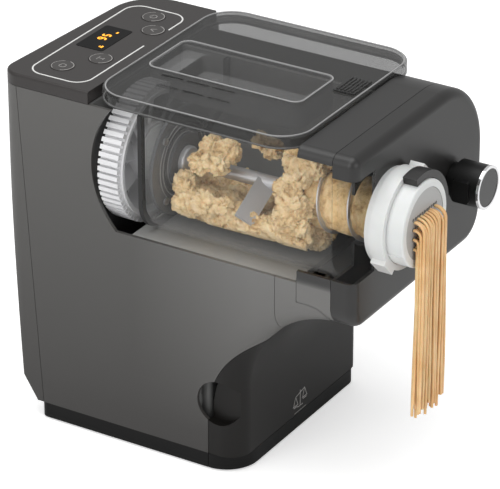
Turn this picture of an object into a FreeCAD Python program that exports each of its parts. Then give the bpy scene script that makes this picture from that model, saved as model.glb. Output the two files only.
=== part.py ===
# Electric pasta maker with a clear mixing chamber, drive wheel, front panel, nozzle and storage drawer.
# Millimetres. X runs right, -Y is the front where the pasta comes out, Z runs up from the table.

import FreeCAD, Part
import math
import os

V = FreeCAD.Vector
os.makedirs("parts", exist_ok=True)

# Housing
LEFT_X = -102.0
RIGHT_X = 85.0
TOP_Z = 300.0
WALL = 3.0
SEAM = 0.4
RUN = 0.35
FOOT_H = 1.5
FAR = 500.0
PLINTH_TOP = 14.4
PLINTH_RIGHT = 82.0
PLINTH_BACK = 150.0
COVER_H = 10.0
BACK_LEFT_Y = 181.0
BACK_RIGHT_Y = 170.0
BACK_LEFT_R = 16.0
RIGHT_SEAM_Y = 130.0
BACK_RIGHT_R = 38.0
BACK_LEAN = 15.0
SIDE_SEAM_LOW_Y = 147.0
SIDE_SEAM_TOP_Y = 165.0
SILL_DROP = 113.0
SILL_Z = TOP_Z - SILL_DROP
COVER_FRONT_Y = 98.0
BOARD_DROP = 9.8
BOARD_TOP_Z = TOP_Z - BOARD_DROP
BOARD_T = 2.0
GLAND_X = 50.0
GLAND_Z = 40.0
GLAND_BACK_Y = 172.0
GLAND_L = 16.0
GLAND_R = 7.0
GLAND_BORE_R = 3.6
BULKHEAD_Y = 96.0
BULKHEAD_T = 4.0

# Pedestal and storage drawer
DRAWER_FRONT_Y = -37.0
DRAWER_SEAM_Y = -9.0
DRAWER_CORNER_R = 28.0
DRAWER_RIGHT_R = 10.0
SWEEP_R = 85.0
NECK_SEAM_Y = -69.0
SEAM_ARC_R = 80.0
SEAM_RISE = 72.0
SEAM_TOP_DROP = 179.0
SEAM_TOP_Z = TOP_Z - SEAM_TOP_DROP
SEAM_ARC_Z = SEAM_TOP_Z - SEAM_RISE
NOTCH_R = 19.0
NOTCH_Z = 61.0
TRAY_BACK_Y = 84.0
TRAY_H = 78.0
TRAY_WALL = 2.0
VENT_COUNT = 9

# Front frame and front panel, a rounded D section
PANEL_RIGHT_X = 101.0
PANEL_H = 144.5
PANEL_LOW_Z = TOP_Z - PANEL_H
PANEL_BACK_Y = -118.0
PANEL_DEPTH = 20.0
PANEL_FRONT_Y = PANEL_BACK_Y - PANEL_DEPTH
PANEL_PLATE_T = 2.6
FRAME_BACK_Y = -88.0
PANEL_R_TOP = 65.0
PANEL_R_LOW = 25.0
PANEL_R_LEFT = 18.0
PANEL_R_CREST = 8.0
PANEL_EDGE_R = 8.0
WINDOW_LOW_Z = SILL_Z + 10.0
WINDOW_TOP_Z = TOP_Z - 18.0
WINDOW_REACH = 30.0

# Drive line
AXIS_X = -51.0
AXIS_DROP = 64.0
AXIS_Z = TOP_Z - AXIS_DROP
WHEEL_R = 56.0
WHEEL_TEETH = 60
WHEEL_FRONT_Y = 69.0
WHEEL_T = 18.0
WHEEL_WINDOW_Y = 20.0
WHEEL_WINDOW_Z = AXIS_Z + 4.0
WHEEL_WINDOW_R = 76.0
WHEEL_RIM = 7.0
SLOT_W = 2.2
SLOT_D = 3.6
PINION_TEETH = 12
PINION_TIP_R = 13.0
PINION_ROOT_R = 8.8
MESH_DEPTH = 2.0
PINION_ANGLE = -50.0
SHAFT_R = 7.0
BEARING_R = 15.0
BEARING_T = 9.0
MOTOR_R = 31.0
BOARD_Y = 120.0
MOTOR_L = 48.0
ROTOR_R = 4.0

# Mixing chamber
TUB_LEFT_X = -101.4
TUB_RIGHT_X = 28.0
TUB_DROP = 9.0
TUB_TOP_Z = TOP_Z - TUB_DROP
TUB_LOW_Z = SILL_Z + 0.6
TUB_FRONT_Y = -117.0
TUB_BACK_Y = 50.0
TUB_WALL = 2.4
TUB_R_LEFT = 30.0
TUB_R_MID = 44.0
TUB_MID_REACH = 49.0
TUB_FLARE_LOW = 4.0
TUB_FLARE_TOP = 18.0
BACKPLATE_T = 3.0
BACKPLATE_R = 44.0
BACK_SCREW_PITCH_R = 36.0
GASKET_T = 3.5
HUB_R = 12.0

# Paddle and auger
PADDLE_R = 5.5
AUGER_R = 25.5
ARM_REACH = 38.0
AUGER_BACK_Y = -44.0
AUGER_FRONT_Y = -150.0
AUGER_PITCH = 26.5
AUGER_CORE_R = 8.0
FLIGHT_T = 2.4
BARREL_R = 26.2
BARREL_WALL = 2.2
BUSH_R = 18.0

# Nozzle, shaping disc and pasta
FLANGE_R = 39.5
FLANGE_BACK_Y = -139.0
FLANGE_FRONT_Y = -155.0
NUT_R = 34.5
NUT_FRONT_Y = -169.0
DISC_R = 31.0
DISC_T = 6.0
HOOD_R = 41.0
HOOD_LOW_ANGLE = -25.0
HOOD_TOP_ANGLE = 105.0
LUG_ANGLES = (45, 225)
STRAND_R = 1.35
STRAND_DROP = 160.0
STRAND_LOW_Z = AXIS_Z - STRAND_DROP
STRAND_COLUMNS = 11
STRAND_ROWS = 3
STRAND_PITCH_X = 3.5

# Knob
KNOB_X = 51.7
KNOB_DROP = 13.3
KNOB_Z = AXIS_Z - KNOB_DROP
KNOB_R = 17.5
KNOB_BACK_Y = -144.0
KNOB_SCREW_R = 4.0

# Lid
LID_LEFT_X = -103.0
LID_RIGHT_X = 88.0
LID_FRONT_Y = -87.0
LID_BACK_Y = 96.5
LID_PROUD = 3.0
LID_TOP_Z = TOP_Z + LID_PROUD
LID_RIM_H = 10.0
LID_RIM_W = 3.0
LID_PLATE_T = 2.4
LID_CORNER_R = 28.0
WELL_LEFT_X = -42.0
WELL_RIGHT_X = 16.0
WELL_FRONT_Y = -54.0
WELL_BACK_Y = 84.0
WELL_DEPTH = 23.0
WELL_DEEP_Y = 66.0
LEDGE_DEPTH = 9.0
WELL_WALL = 2.0
WELL_R = 8.0

# Controls on the top cover
KEY_R = 9.5
KEYS = {"key_power": (-70.5, 142.0), "key_weigh": (-44.0, 124.0),
        "key_start": (46.0, 133.0), "key_program": (23.5, 119.0)}
DISPLAY = (-32.0, 13.0, 131.0, 156.0)
OUTLINE = (-93.0, 61.0, 108.0, 162.0)
OUTLINE_R = 14.0

# Middle of the whole outline, from the wheel's rim to the right-hand arm
OUTLINE_MIDDLE_X = (AXIS_X - WHEEL_R + PANEL_RIGHT_X) / 2


def box(x0, x1, y0, y1, z0, z1):
    return Part.makeBox(x1 - x0, y1 - y0, z1 - z0, V(x0, y0, z0))


def cyl_y(x, z, r, y0, y1):
    return Part.makeCylinder(r, y1 - y0, V(x, y0, z), V(0, 1, 0))


def ring_y(x, z, r_out, r_in, y0, y1):
    return cyl_y(x, z, r_out, y0, y1).cut(cyl_y(x, z, r_in, y0 - 1, y1 + 1))


def cyl_z(x, y, r, z0, z1):
    return Part.makeCylinder(r, z1 - z0, V(x, y, z0), V(0, 0, 1))


def rounded_wire(points, radii):
    """Closed wire through 3-D corner points, each corner rounded by its own radius."""
    edges = []
    ends = []
    count = len(points)
    for i in range(count):
        here = points[i]
        before = points[i - 1] - here
        after = points[(i + 1) % count] - here
        if radii[i] <= 0:
            ends.append((here, here, None))
            continue
        half = before.getAngle(after) / 2
        reach = radii[i] / math.tan(half)
        start = here + before.normalize() * reach
        stop = here + after.normalize() * reach
        middle_dir = (start + stop) * 0.5 - here
        apex = radii[i] / math.sin(half) - radii[i]
        ends.append((start, stop, here + middle_dir.normalize() * apex))
    for i in range(count):
        start, stop, apex = ends[i]
        if apex is not None:
            edges.append(Part.Arc(start, apex, stop).toShape())
        next_start = ends[(i + 1) % count][0]
        if (next_start - stop).Length > 1e-6:
            edges.append(Part.LineSegment(stop, next_start).toShape())
    return Part.Wire(edges)


def prism(points, radii, along):
    return Part.Face(rounded_wire(points, radii)).extrude(along)


def plan(corners, radii, z0, z1):
    return prism([V(x, y, z0) for x, y in corners], radii, V(0, 0, z1 - z0))


def rounded_box(x0, x1, y0, y1, z0, z1, r):
    return plan([(x0, y0), (x1, y0), (x1, y1), (x0, y1)], [r] * 4, z0, z1)


def side(profile, radii, x0, x1):
    return prism([V(x0, y, z) for y, z in profile], radii, V(x1 - x0, 0, 0))


def d_section(inset, y0, y1):
    """The rounded D section shared by the front frame, the arm and the front panel."""
    x0 = LEFT_X + inset
    x1 = PANEL_RIGHT_X - inset
    z0 = PANEL_LOW_Z + inset
    z1 = TOP_Z - inset
    corners = [V(x0, y0, z0), V(x1, y0, z0), V(x1, y0, z1), V(x0, y0, z1)]
    radii = [PANEL_R_LEFT, PANEL_R_LOW, PANEL_R_TOP, PANEL_R_CREST]
    radii = [max(r - inset, 1.0) for r in radii]
    return prism(corners, radii, V(0, y1 - y0, 0))


def tub_section(inset, y0, y1, top):
    """Section of the mixing chamber: flat left wall, round floor, flared right side under the lid well."""
    x0 = TUB_LEFT_X + inset
    mid = AXIS_X + TUB_MID_REACH - inset
    x1 = TUB_RIGHT_X - inset
    z0 = TUB_LOW_Z + inset
    low = AXIS_Z + TUB_FLARE_LOW
    high = AXIS_Z + TUB_FLARE_TOP
    corners = [(x0, top), (x0, z0), (mid, z0), (mid, low), (x1, high), (x1, top)]
    radii = [0, TUB_R_LEFT - inset, TUB_R_MID - inset, 8.0, 8.0, 0]
    return prism([V(x, y0, z) for x, z in corners], radii, V(0, y1 - y0, 0))


def polar_y(shape, count, x=AXIS_X, z=AXIS_Z):
    copies = []
    for i in range(count):
        turned = shape.copy()
        turned.rotate(V(x, 0, z), V(0, 1, 0), 360.0 * i / count)
        copies.append(turned)
    return copies


def pinion_centre():
    reach = WHEEL_R + PINION_TIP_R - MESH_DEPTH
    angle = math.radians(PINION_ANGLE)
    return AXIS_X + reach * math.cos(angle), AXIS_Z + reach * math.sin(angle)


def body_plan(inset, z0, z1, front):
    """Plan of the rear column, rounded at its two back corners."""
    corners = [(LEFT_X + inset, front), (RIGHT_X - inset, front),
               (RIGHT_X - inset, BACK_RIGHT_Y - inset), (LEFT_X + inset, BACK_LEFT_Y - inset)]
    return plan(corners, [0, 0, BACK_RIGHT_R - inset, BACK_LEFT_R - inset], z0, z1)


def seam_y(z):
    share = (z - PLINTH_TOP) / (TOP_Z - PLINTH_TOP)
    return SIDE_SEAM_LOW_Y + share * (SIDE_SEAM_TOP_Y - SIDE_SEAM_LOW_Y)


def footprint(z0, z1, inset=0.0):
    corners = [(LEFT_X + inset, DRAWER_FRONT_Y + inset), (PLINTH_RIGHT - inset, DRAWER_FRONT_Y + inset),
               (PLINTH_RIGHT - inset, PLINTH_BACK - inset), (LEFT_X + inset, PLINTH_BACK - inset)]
    radii = [DRAWER_CORNER_R - inset, DRAWER_RIGHT_R - inset, 6.0, 6.0]
    return plan(corners, radii, z0, z1)


def base_plate():
    tray = footprint(FOOT_H, PLINTH_TOP).cut(footprint(FOOT_H + WALL, PLINTH_TOP + 1, WALL))
    front = box(-FAR, FAR, -FAR, DRAWER_SEAM_Y + SEAM, 0, 50)
    bar = box(-FAR, FAR, DRAWER_SEAM_Y + SEAM, DRAWER_SEAM_Y + SEAM + WALL, 0, 50)
    sill = footprint(FOOT_H, PLINTH_TOP).common(bar)
    return tray.fuse(sill).cut(front).removeSplitter()


def feet():
    spots = [(LEFT_X + 18, 8), (PLINTH_RIGHT - 18, 8), (LEFT_X + 18, PLINTH_BACK - 18),
             (PLINTH_RIGHT - 18, PLINTH_BACK - 18)]
    return [cyl_z(x, y, 9.0, 0, FOOT_H) for x, y in spots]


def load_cells():
    cells = []
    for x in (LEFT_X + 30, PLINTH_RIGHT - 42):
        bar = box(x, x + 12, 20, 90, FOOT_H + WALL, PLINTH_TOP - 2)
        bar = bar.cut(Part.makeCylinder(3.0, 30, V(x - 5, 50, 8.4), V(1, 0, 0)))
        bar = bar.cut(Part.makeCylinder(3.0, 30, V(x - 5, 58, 8.4), V(1, 0, 0)))
        cells.append(bar)
    return cells


def side_panel_left():
    """Left side of the pedestal and column in one panel, cut round for the drive wheel."""
    wrap = pedestal_shell().cut(before_seam(SEAM))
    wrap = wrap.common(box(LEFT_X, LEFT_X + PANEL_R_LEFT, NECK_SEAM_Y + SEAM, 60, 0, SILL_Z))
    top = TOP_Z - COVER_H - SEAM
    tall = side([(50, PLINTH_TOP), (50, top), (seam_y(top), top), (seam_y(PLINTH_TOP), PLINTH_TOP)],
                [0] * 4, LEFT_X, LEFT_X + WALL)
    arc = Part.makeCylinder(WHEEL_WINDOW_R, 20, V(LEFT_X - 5, WHEEL_WINDOW_Y, WHEEL_WINDOW_Z), V(1, 0, 0))
    ahead = box(-200, 0, -60, WHEEL_WINDOW_Y + 40, SILL_Z, TOP_Z)
    window = arc.fuse(ahead).common(box(-200, 0, -60, 200, SILL_Z, TOP_Z))
    notch = Part.makeCylinder(NOTCH_R, 20, V(LEFT_X - 5, DRAWER_SEAM_Y - 9, NOTCH_Z), V(1, 0, 0))
    return wrap.fuse(tall).cut(window).cut(notch).removeSplitter()


def side_panel_right():
    """Right side of the pedestal and column."""
    wrap = pedestal_shell().cut(before_seam(SEAM))
    wrap = wrap.common(box(RIGHT_X - DRAWER_RIGHT_R, RIGHT_X, NECK_SEAM_Y + SEAM, 60, 0, SILL_Z))
    top = TOP_Z - COVER_H - SEAM
    low = box(RIGHT_X - WALL, RIGHT_X, 50, RIGHT_SEAM_Y, PLINTH_TOP, SILL_Z)
    tall = box(RIGHT_X - WALL, RIGHT_X, BULKHEAD_Y, RIGHT_SEAM_Y, SILL_Z - 1, top)
    return wrap.fuse([low, tall]).removeSplitter()


def rear_shell():
    top = TOP_Z - COVER_H - SEAM
    lean = [(60, PLINTH_TOP), (BACK_LEFT_Y - BACK_LEAN - 13, PLINTH_TOP), (BACK_LEFT_Y - BACK_LEAN, 35),
            (BACK_LEFT_Y, top), (60, top)]
    outer = body_plan(0, PLINTH_TOP, top, 60).common(side(lean, [0] * 5, LEFT_X, RIGHT_X))
    inner_lean = [(59, PLINTH_TOP + WALL), (lean[1][0] - WALL, PLINTH_TOP + WALL),
                  (lean[2][0] - WALL, 36), (BACK_LEFT_Y - WALL, top + 5), (59, top + 5)]
    inner = body_plan(WALL, PLINTH_TOP + WALL, top + 5, 50)
    inner = inner.common(side(inner_lean, [0] * 5, LEFT_X, RIGHT_X))
    ahead = side([(0, 0), (0, FAR), (seam_y(FAR) + SEAM, FAR), (seam_y(0) + SEAM, 0)], [0] * 4, -FAR, 0)
    ahead = ahead.fuse(box(-1, FAR, 0, RIGHT_SEAM_Y + SEAM, 0, FAR))
    gland = cyl_y(GLAND_X, GLAND_Z, GLAND_R + SEAM, GLAND_BACK_Y - 42, GLAND_BACK_Y)
    shell = outer.cut(inner).cut(ahead).cut(gland)
    for i in range(VENT_COUNT):
        x = -50 + i * 9.0
        shell = shell.cut(box(x, x + 4.0, 120, 200, 70, 110))
    return shell


def cord_gland():
    y0 = GLAND_BACK_Y - GLAND_L
    body = cyl_y(GLAND_X, GLAND_Z, GLAND_R, y0, GLAND_BACK_Y)
    flange = cyl_y(GLAND_X, GLAND_Z, GLAND_R + 2.5, y0 + 0.5, y0 + 3.5)
    bore = cyl_y(GLAND_X, GLAND_Z, GLAND_BORE_R, y0 - 16, GLAND_BACK_Y + 8)
    return body.fuse(flange).cut(bore).removeSplitter()


def top_cover():
    z0 = TOP_Z - COVER_H
    outer = body_plan(0, z0, TOP_Z, COVER_FRONT_Y)
    pocket = body_plan(WALL, z0 - 1, TOP_Z - WALL, COVER_FRONT_Y + WALL)
    cover = outer.cut(pocket)
    edge = [e for e in cover.Edges if abs(e.CenterOfMass.z - TOP_Z) < 0.01
            and e.CenterOfMass.y > COVER_FRONT_Y + 1]
    cover = cover.makeFillet(2.2, edge)
    for x, y in KEYS.values():
        cover = cover.cut(cyl_z(x, y, KEY_R + RUN, z0 - 5, TOP_Z + 5))
    for x, y in ((LEFT_X + 14, 107), (LEFT_X + 14, 157), (56, 107), (38, 157)):
        cover = cover.fuse(cyl_z(x, y, 3.0, BOARD_TOP_Z, TOP_Z - WALL + 0.5))
    x0, x1, y0, y1 = DISPLAY
    return cover.cut(rounded_box(x0 - 0.2, x1 + 0.2, y0 - 0.2, y1 + 0.2, z0 - 5, TOP_Z + 5, 2.2))


def panel_outline():
    """Thin light line round the controls, set on the cover."""
    x0, x1, y0, y1 = OUTLINE
    outer = rounded_box(x0, x1, y0, y1, TOP_Z, TOP_Z + 0.25, OUTLINE_R)
    inner = rounded_box(x0 + 1.2, x1 - 1.2, y0 + 1.2, y1 - 1.2, TOP_Z - 1, TOP_Z + 1, OUTLINE_R - 1.2)
    return outer.cut(inner).cut(box(-6, 30, y0 - 2, y0 + 6, TOP_Z - 1, TOP_Z + 1))


def display_window():
    x0, x1, y0, y1 = DISPLAY
    return rounded_box(x0, x1, y0, y1, TOP_Z - WALL, TOP_Z + 0.2, 2.0)


def key_cap(place):
    x, y = place
    cap = cyl_z(x, y, KEY_R, TOP_Z - 4, TOP_Z + 0.4)
    cap = cap.makeFillet(0.3, [e for e in cap.Edges if e.CenterOfMass.z > TOP_Z])
    return cap.fuse(cyl_z(x, y, 2.0, TOP_Z - COVER_H + 1.5, TOP_Z - 4)).removeSplitter()


def control_board():
    return box(-92, 60, 104, 160, BOARD_TOP_Z - BOARD_T, BOARD_TOP_Z)


def bulkhead():
    """Gear plate across the housing, carries the wheel bearing and the motor."""
    px, pz = pinion_centre()
    plate = box(LEFT_X + WALL, RIGHT_X - WALL, BULKHEAD_Y, BULKHEAD_Y + BULKHEAD_T,
                PLINTH_TOP, TOP_Z - COVER_H - SEAM)
    return plate.cut(cyl_y(AXIS_X, AXIS_Z, BEARING_R, 90, 110)).cut(cyl_y(px, pz, 12.0, 90, 110))


def wheel_bearing():
    y0 = BULKHEAD_Y - 2.5
    return ring_y(AXIS_X, AXIS_Z, BEARING_R, SHAFT_R + 0.05, y0, y0 + BEARING_T)


def fasteners():
    """Case screws, motor bushes and board posts, one group of turned pieces."""
    px, pz = pinion_centre()
    y0 = BULKHEAD_Y + BULKHEAD_T
    spots = [(LEFT_X + 12, 30), (LEFT_X + 12, 120), (PLINTH_RIGHT - 12, 30), (PLINTH_RIGHT - 12, 120)]
    group = [cyl_z(x, y, 3.0, FOOT_H + WALL, FOOT_H + WALL + 8) for x, y in spots]
    group += [cyl_y(px + MOTOR_R * sx + 3.2 * sx, pz, 2.9, y0, y0 + 14) for sx in (-1, 1)]
    group += [cyl_y(x, z, 3.0, y0, BOARD_Y) for x in (-74, 34) for z in (36, 94)]
    return group


def drive_wheel():
    """Ribbed drive wheel: a slotted rim on slanted blades and a deep hub."""
    y0 = WHEEL_FRONT_Y
    y1 = y0 + WHEEL_T
    inner_r = WHEEL_R - WHEEL_RIM
    rim = ring_y(AXIS_X, AXIS_Z, WHEEL_R, inner_r, y0, y1)
    lip = ring_y(AXIS_X, AXIS_Z, inner_r + 1.5, inner_r - 1.5, y0 - 1.5, y0 + 3)
    hub = ring_y(AXIS_X, AXIS_Z, 24.0, SHAFT_R, y0 + 1, y0 + 15)
    spoke = box(AXIS_X + 22, AXIS_X + inner_r + 2, y0 + 7, y0 + 9.5, AXIS_Z - 7, AXIS_Z + 7)
    spoke.rotate(V(AXIS_X, y0 + 8, AXIS_Z), V(1, 0, 0), 28)
    slot = box(AXIS_X + WHEEL_R - SLOT_D, AXIS_X + WHEEL_R + 2, y0 - 1, y1 + 1,
               AXIS_Z - SLOT_W / 2, AXIS_Z + SLOT_W / 2)
    slot.rotate(V(AXIS_X, 0, AXIS_Z), V(0, 1, 0), -PINION_ANGLE)
    wheel = rim.fuse([lip, hub] + polar_y(spoke, 9))
    wheel = wheel.cut(cyl_y(AXIS_X, AXIS_Z, SHAFT_R, y0 - 10, y1 + 10))
    return wheel.cut(polar_y(slot, WHEEL_TEETH))


def hub_cap():
    """Light dished cap over the wheel's hub, with a hole for the drive shaft."""
    y0 = WHEEL_FRONT_Y + 1
    dome = Part.makeSphere(46.0, V(AXIS_X, y0 + 39.5, AXIS_Z))
    cap = dome.common(cyl_y(AXIS_X, AXIS_Z, 22.0, y0 - 10, y0))
    return cap.cut(cyl_y(AXIS_X, AXIS_Z, SHAFT_R, 0, 120))


def output_shaft():
    """Drive shaft: round in the bearing, six-sided where it enters the chamber's hub."""
    shaft = cyl_y(AXIS_X, AXIS_Z, SHAFT_R, 56.0, BULKHEAD_Y + BEARING_T)
    hexagon = Part.makePolygon([V(AXIS_X + 4.2 * math.cos(math.radians(60 * i)), 30.0,
                                  AXIS_Z + 4.2 * math.sin(math.radians(60 * i))) for i in range(7)])
    return shaft.fuse(Part.Face(hexagon).extrude(V(0, 27.0, 0))).removeSplitter()


def motor():
    px, pz = pinion_centre()
    y0 = BULKHEAD_Y + BULKHEAD_T
    can = cyl_y(px, pz, MOTOR_R, y0, y0 + MOTOR_L)
    can = can.cut(cyl_y(px, pz, MOTOR_R - 3, y0 + 4, y0 + MOTOR_L - 3))
    return can.cut(cyl_y(px, pz, ROTOR_R + 0.05, y0 - 5, y0 + MOTOR_L + 5))


def motor_rotor():
    px, pz = pinion_centre()
    y0 = BULKHEAD_Y + BULKHEAD_T
    shaft = cyl_y(px, pz, ROTOR_R, WHEEL_FRONT_Y + 1, y0 + MOTOR_L + 14)
    return shaft.fuse(cyl_y(px, pz, MOTOR_R - 6, y0 + 10, y0 + MOTOR_L - 9)).removeSplitter()


def motor_pinion():
    px, pz = pinion_centre()
    y0 = WHEEL_FRONT_Y + 1
    y1 = BULKHEAD_Y - 4
    half = math.pi / PINION_TEETH
    tooth = Part.makePolygon([V(px - PINION_ROOT_R + 1, y0, pz + 1.3), V(px - PINION_TIP_R, y0, pz + 0.5),
                              V(px - PINION_TIP_R, y0, pz - 0.5), V(px - PINION_ROOT_R + 1, y0, pz - 1.3),
                              V(px - PINION_ROOT_R + 1, y0, pz + 1.3)])
    tooth = Part.Face(tooth).extrude(V(0, y1 - y0, 0))
    tooth.rotate(V(px, 0, pz), V(0, 1, 0), -PINION_ANGLE)
    gear = cyl_y(px, pz, PINION_ROOT_R, y0, y1).fuse(polar_y(tooth, PINION_TEETH, px, pz))
    return gear.cut(cyl_y(px, pz, ROTOR_R, 0, 200)).removeSplitter()


def motor_fan():
    px, pz = pinion_centre()
    y0 = BULKHEAD_Y + BULKHEAD_T + MOTOR_L + 4
    hub = cyl_y(px, pz, 9.0, y0, y0 + 9)
    blade = box(px + 6, px + 28, y0 + 3.5, y0 + 5, pz - 5, pz + 5)
    blade.rotate(V(px, y0 + 4, pz), V(1, 0, 0), 30)
    fan = hub.fuse(polar_y(blade, 7, px, pz))
    return fan.cut(cyl_y(px, pz, ROTOR_R, 0, 300)).removeSplitter()


def power_board():
    y1 = BOARD_Y + 2
    board = box(-80, 40, BOARD_Y, y1, 30, 100)
    return board.fuse([box(-70, -46, y1, y1 + 20, 40, 70), box(-36, -20, y1, y1 + 16, 40, 62),
                       box(-10, 24, y1, y1 + 12, 44, 80)]).removeSplitter()


def chamber_cradle():
    """Inner floor under the chamber and the wall between the chamber and the right-hand arm."""
    floor = box(LEFT_X + WALL, RIGHT_X - WALL, -85, 62, SILL_Z - 6.0, SILL_Z - 0.6)
    wall = box(TUB_RIGHT_X + 1, TUB_RIGHT_X + 1 + WALL, -85, BULKHEAD_Y, SILL_Z - 6.0, TUB_TOP_Z)
    px, pz = pinion_centre()
    return floor.fuse(wall).cut(cyl_y(px, pz, 20, 60, 96)).removeSplitter()


def front_frame():
    """Fixed D-shaped collar behind the front panel, open for the chamber."""
    outer = d_section(0, PANEL_BACK_Y + SEAM, FRAME_BACK_Y)
    inner = d_section(WALL, PANEL_BACK_Y + SEAM - 1, FRAME_BACK_Y + 1)
    ring = outer.cut(inner)
    face = d_section(1.0, PANEL_BACK_Y + SEAM + 4, PANEL_BACK_Y + SEAM + 7)
    ring = ring.fuse(face).cut(tub_section(-0.5, -150, 0, TUB_TOP_Z + 0.6))
    ring = ring.cut(cyl_y(KNOB_X, KNOB_Z, KNOB_SCREW_R + 3, -150, 0))
    left_wall = box(LEFT_X - 1, TUB_LEFT_X + 6, -150, 0, WINDOW_LOW_Z, TUB_TOP_Z + 0.6)
    return ring.cut(left_wall).removeSplitter()


def arm_shell():
    """Right-hand arm of the housing from the front frame back to the column."""
    y0 = FRAME_BACK_Y + SEAM
    outer = d_section(0, y0, BULKHEAD_Y - SEAM)
    inner = d_section(WALL, y0 - 1, BULKHEAD_Y + 1)
    x0 = TUB_RIGHT_X + 1 + WALL
    keep = box(x0 + SEAM, 200, -200, 200, SILL_Z, TUB_TOP_Z)
    roof = box(x0 + SEAM, 70, y0, BULKHEAD_Y - SEAM, TUB_TOP_Z - WALL, TUB_TOP_Z)
    roof = roof.common(d_section(0.5, y0, BULKHEAD_Y - SEAM))
    low = box(RIGHT_X - 60, 200, y0, BULKHEAD_Y - SEAM, PANEL_LOW_Z, SILL_Z)
    outer_low = outer.common(box(RIGHT_X, 200, -200, 200, 0, SILL_Z)).cut(inner)
    return outer.cut(inner).common(keep).fuse([roof, outer_low.common(low)]).removeSplitter()


def knob_nut():
    """Threaded insert in the arm that the knob's screw draws the panel against."""
    return ring_y(KNOB_X, KNOB_Z, KNOB_SCREW_R + 5, KNOB_SCREW_R + 0.4, FRAME_BACK_Y - 22, FRAME_BACK_Y + 2)


def lid_switch():
    """Interlock switch under the lid's latch."""
    return box(40, 54, -82, -70, TUB_TOP_Z - 22, TUB_TOP_Z - WALL)


def front_mass(inset):
    """Pedestal front as one mass: a flat front that sweeps forwards in a quarter round."""
    y_flat = DRAWER_FRONT_Y + inset
    centre_y = DRAWER_FRONT_Y - SWEEP_R
    centre_z = PANEL_LOW_Z - SWEEP_R
    r = SWEEP_R + inset
    reach = PANEL_BACK_Y + SEAM - centre_y
    top = centre_z + math.sqrt(r * r - reach * reach)
    middle = math.radians(40)
    x0 = LEFT_X + inset
    low = PLINTH_TOP - 1.0 if inset else PLINTH_TOP
    a = V(x0, y_flat, low)
    b = V(x0, y_flat, centre_z)
    c = V(x0, centre_y + r * math.cos(middle), centre_z + r * math.sin(middle))
    d = V(x0, PANEL_BACK_Y + SEAM, top)
    e = V(x0, PANEL_BACK_Y + SEAM, SILL_Z)
    f = V(x0, 60, SILL_Z)
    g = V(x0, 60, low)
    edges = [Part.LineSegment(a, b).toShape(), Part.Arc(b, c, d).toShape()]
    edges += [Part.LineSegment(p, q).toShape() for p, q in ((d, e), (e, f), (f, g), (g, a))]
    width = RIGHT_X - LEFT_X - 2 * inset
    mass = Part.Face(Part.Wire(edges)).extrude(V(width, 0, 0))
    left = [k for k in mass.Edges if abs(k.CenterOfMass.x - x0) < 0.01 and on_front(k)]
    mass = mass.makeFillet(PANEL_R_LEFT - inset, left)
    right = [k for k in mass.Edges if abs(k.BoundBox.XMin - x0 - width) < 0.01
             and abs(k.BoundBox.XMax - x0 - width) < 0.01 and on_front(k)]
    return mass.makeFillet(DRAWER_RIGHT_R - inset, right)


def on_front(edge):
    bb = edge.BoundBox
    if bb.YMax > DRAWER_FRONT_Y + 8:
        return False
    upright = bb.YMax - bb.YMin < 0.01 and bb.ZMin < 40
    swept = bb.YMax - bb.YMin > 20 and bb.ZMax - bb.ZMin > 20
    return upright or swept


def before_seam(shift):
    """Block in front of the drawer seam: upright at first, then one arc forwards under the neck."""
    low = box(-FAR, FAR, -FAR, DRAWER_SEAM_Y + shift, 0, SEAM_ARC_Z)
    y = DRAWER_SEAM_Y - SEAM_ARC_R
    round_part = Part.makeCylinder(SEAM_ARC_R + shift, 2 * FAR, V(-FAR, y, SEAM_ARC_Z), V(1, 0, 0))
    return low.fuse(round_part).common(box(-FAR, FAR, -FAR, FAR, 0, SEAM_TOP_Z + shift))


def pedestal_shell():
    """Wall of the pedestal and neck before it is parted into its covers."""
    return front_mass(0).cut(front_mass(WALL))


def drawer_front():
    """Drawer front: flat below, then swept forwards and up to the underside of the neck."""
    shell = pedestal_shell().common(before_seam(0))
    finger = Part.makeCylinder(NOTCH_R, 9, V(LEFT_X - 1, DRAWER_SEAM_Y - 9, NOTCH_Z), V(1, 0, 0))
    block = box(LEFT_X, LEFT_X + 10, DRAWER_SEAM_Y - 26, DRAWER_SEAM_Y, NOTCH_Z - 24, NOTCH_Z + 24)
    pad = block.common(front_mass(0)).common(before_seam(0))
    return shell.fuse(pad).cut(finger).removeSplitter()


def drawer_plinth():
    outer = footprint(FOOT_H, PLINTH_TOP - SEAM)
    ahead = box(-FAR, FAR, -FAR, DRAWER_SEAM_Y, 0, 60)
    hollow = footprint(FOOT_H + WALL, PLINTH_TOP + 1, WALL)
    return outer.common(ahead).cut(hollow).removeSplitter()


def drawer_tray():
    """Open tray behind the drawer front, holds the shaping discs."""
    x0 = LEFT_X + 10
    x1 = PLINTH_RIGHT - 8
    y0 = DRAWER_SEAM_Y + 4
    z0 = PLINTH_TOP + 2.2
    outer = rounded_box(x0, x1, y0, TRAY_BACK_Y, z0, z0 + TRAY_H, 4.0)
    inner = rounded_box(x0 + TRAY_WALL, x1 - TRAY_WALL, y0 + TRAY_WALL, TRAY_BACK_Y - TRAY_WALL,
                        z0 + TRAY_WALL, z0 + TRAY_H + 5, 2.0)
    lug_y = DRAWER_FRONT_Y + WALL
    tray = outer.cut(inner)
    for x in (x0 + 8, x1 - 20):
        tray = tray.fuse(box(x, x + 12, lug_y, y0 + 1, z0 + 4, z0 + 26))
    return tray.removeSplitter()


def spare_discs():
    """Two shaping discs stored in the drawer."""
    discs = []
    for x in (-50.0, 20.0):
        disc = cyl_z(x, 38.0, DISC_R, PLINTH_TOP + 4.5, PLINTH_TOP + 4.5 + DISC_T)
        for i in range(8):
            a = math.radians(45 * i)
            disc = disc.cut(cyl_z(x + 16 * math.cos(a), 38 + 16 * math.sin(a), 3.5, 0, 60))
        discs.append(disc)
    return discs


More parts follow.
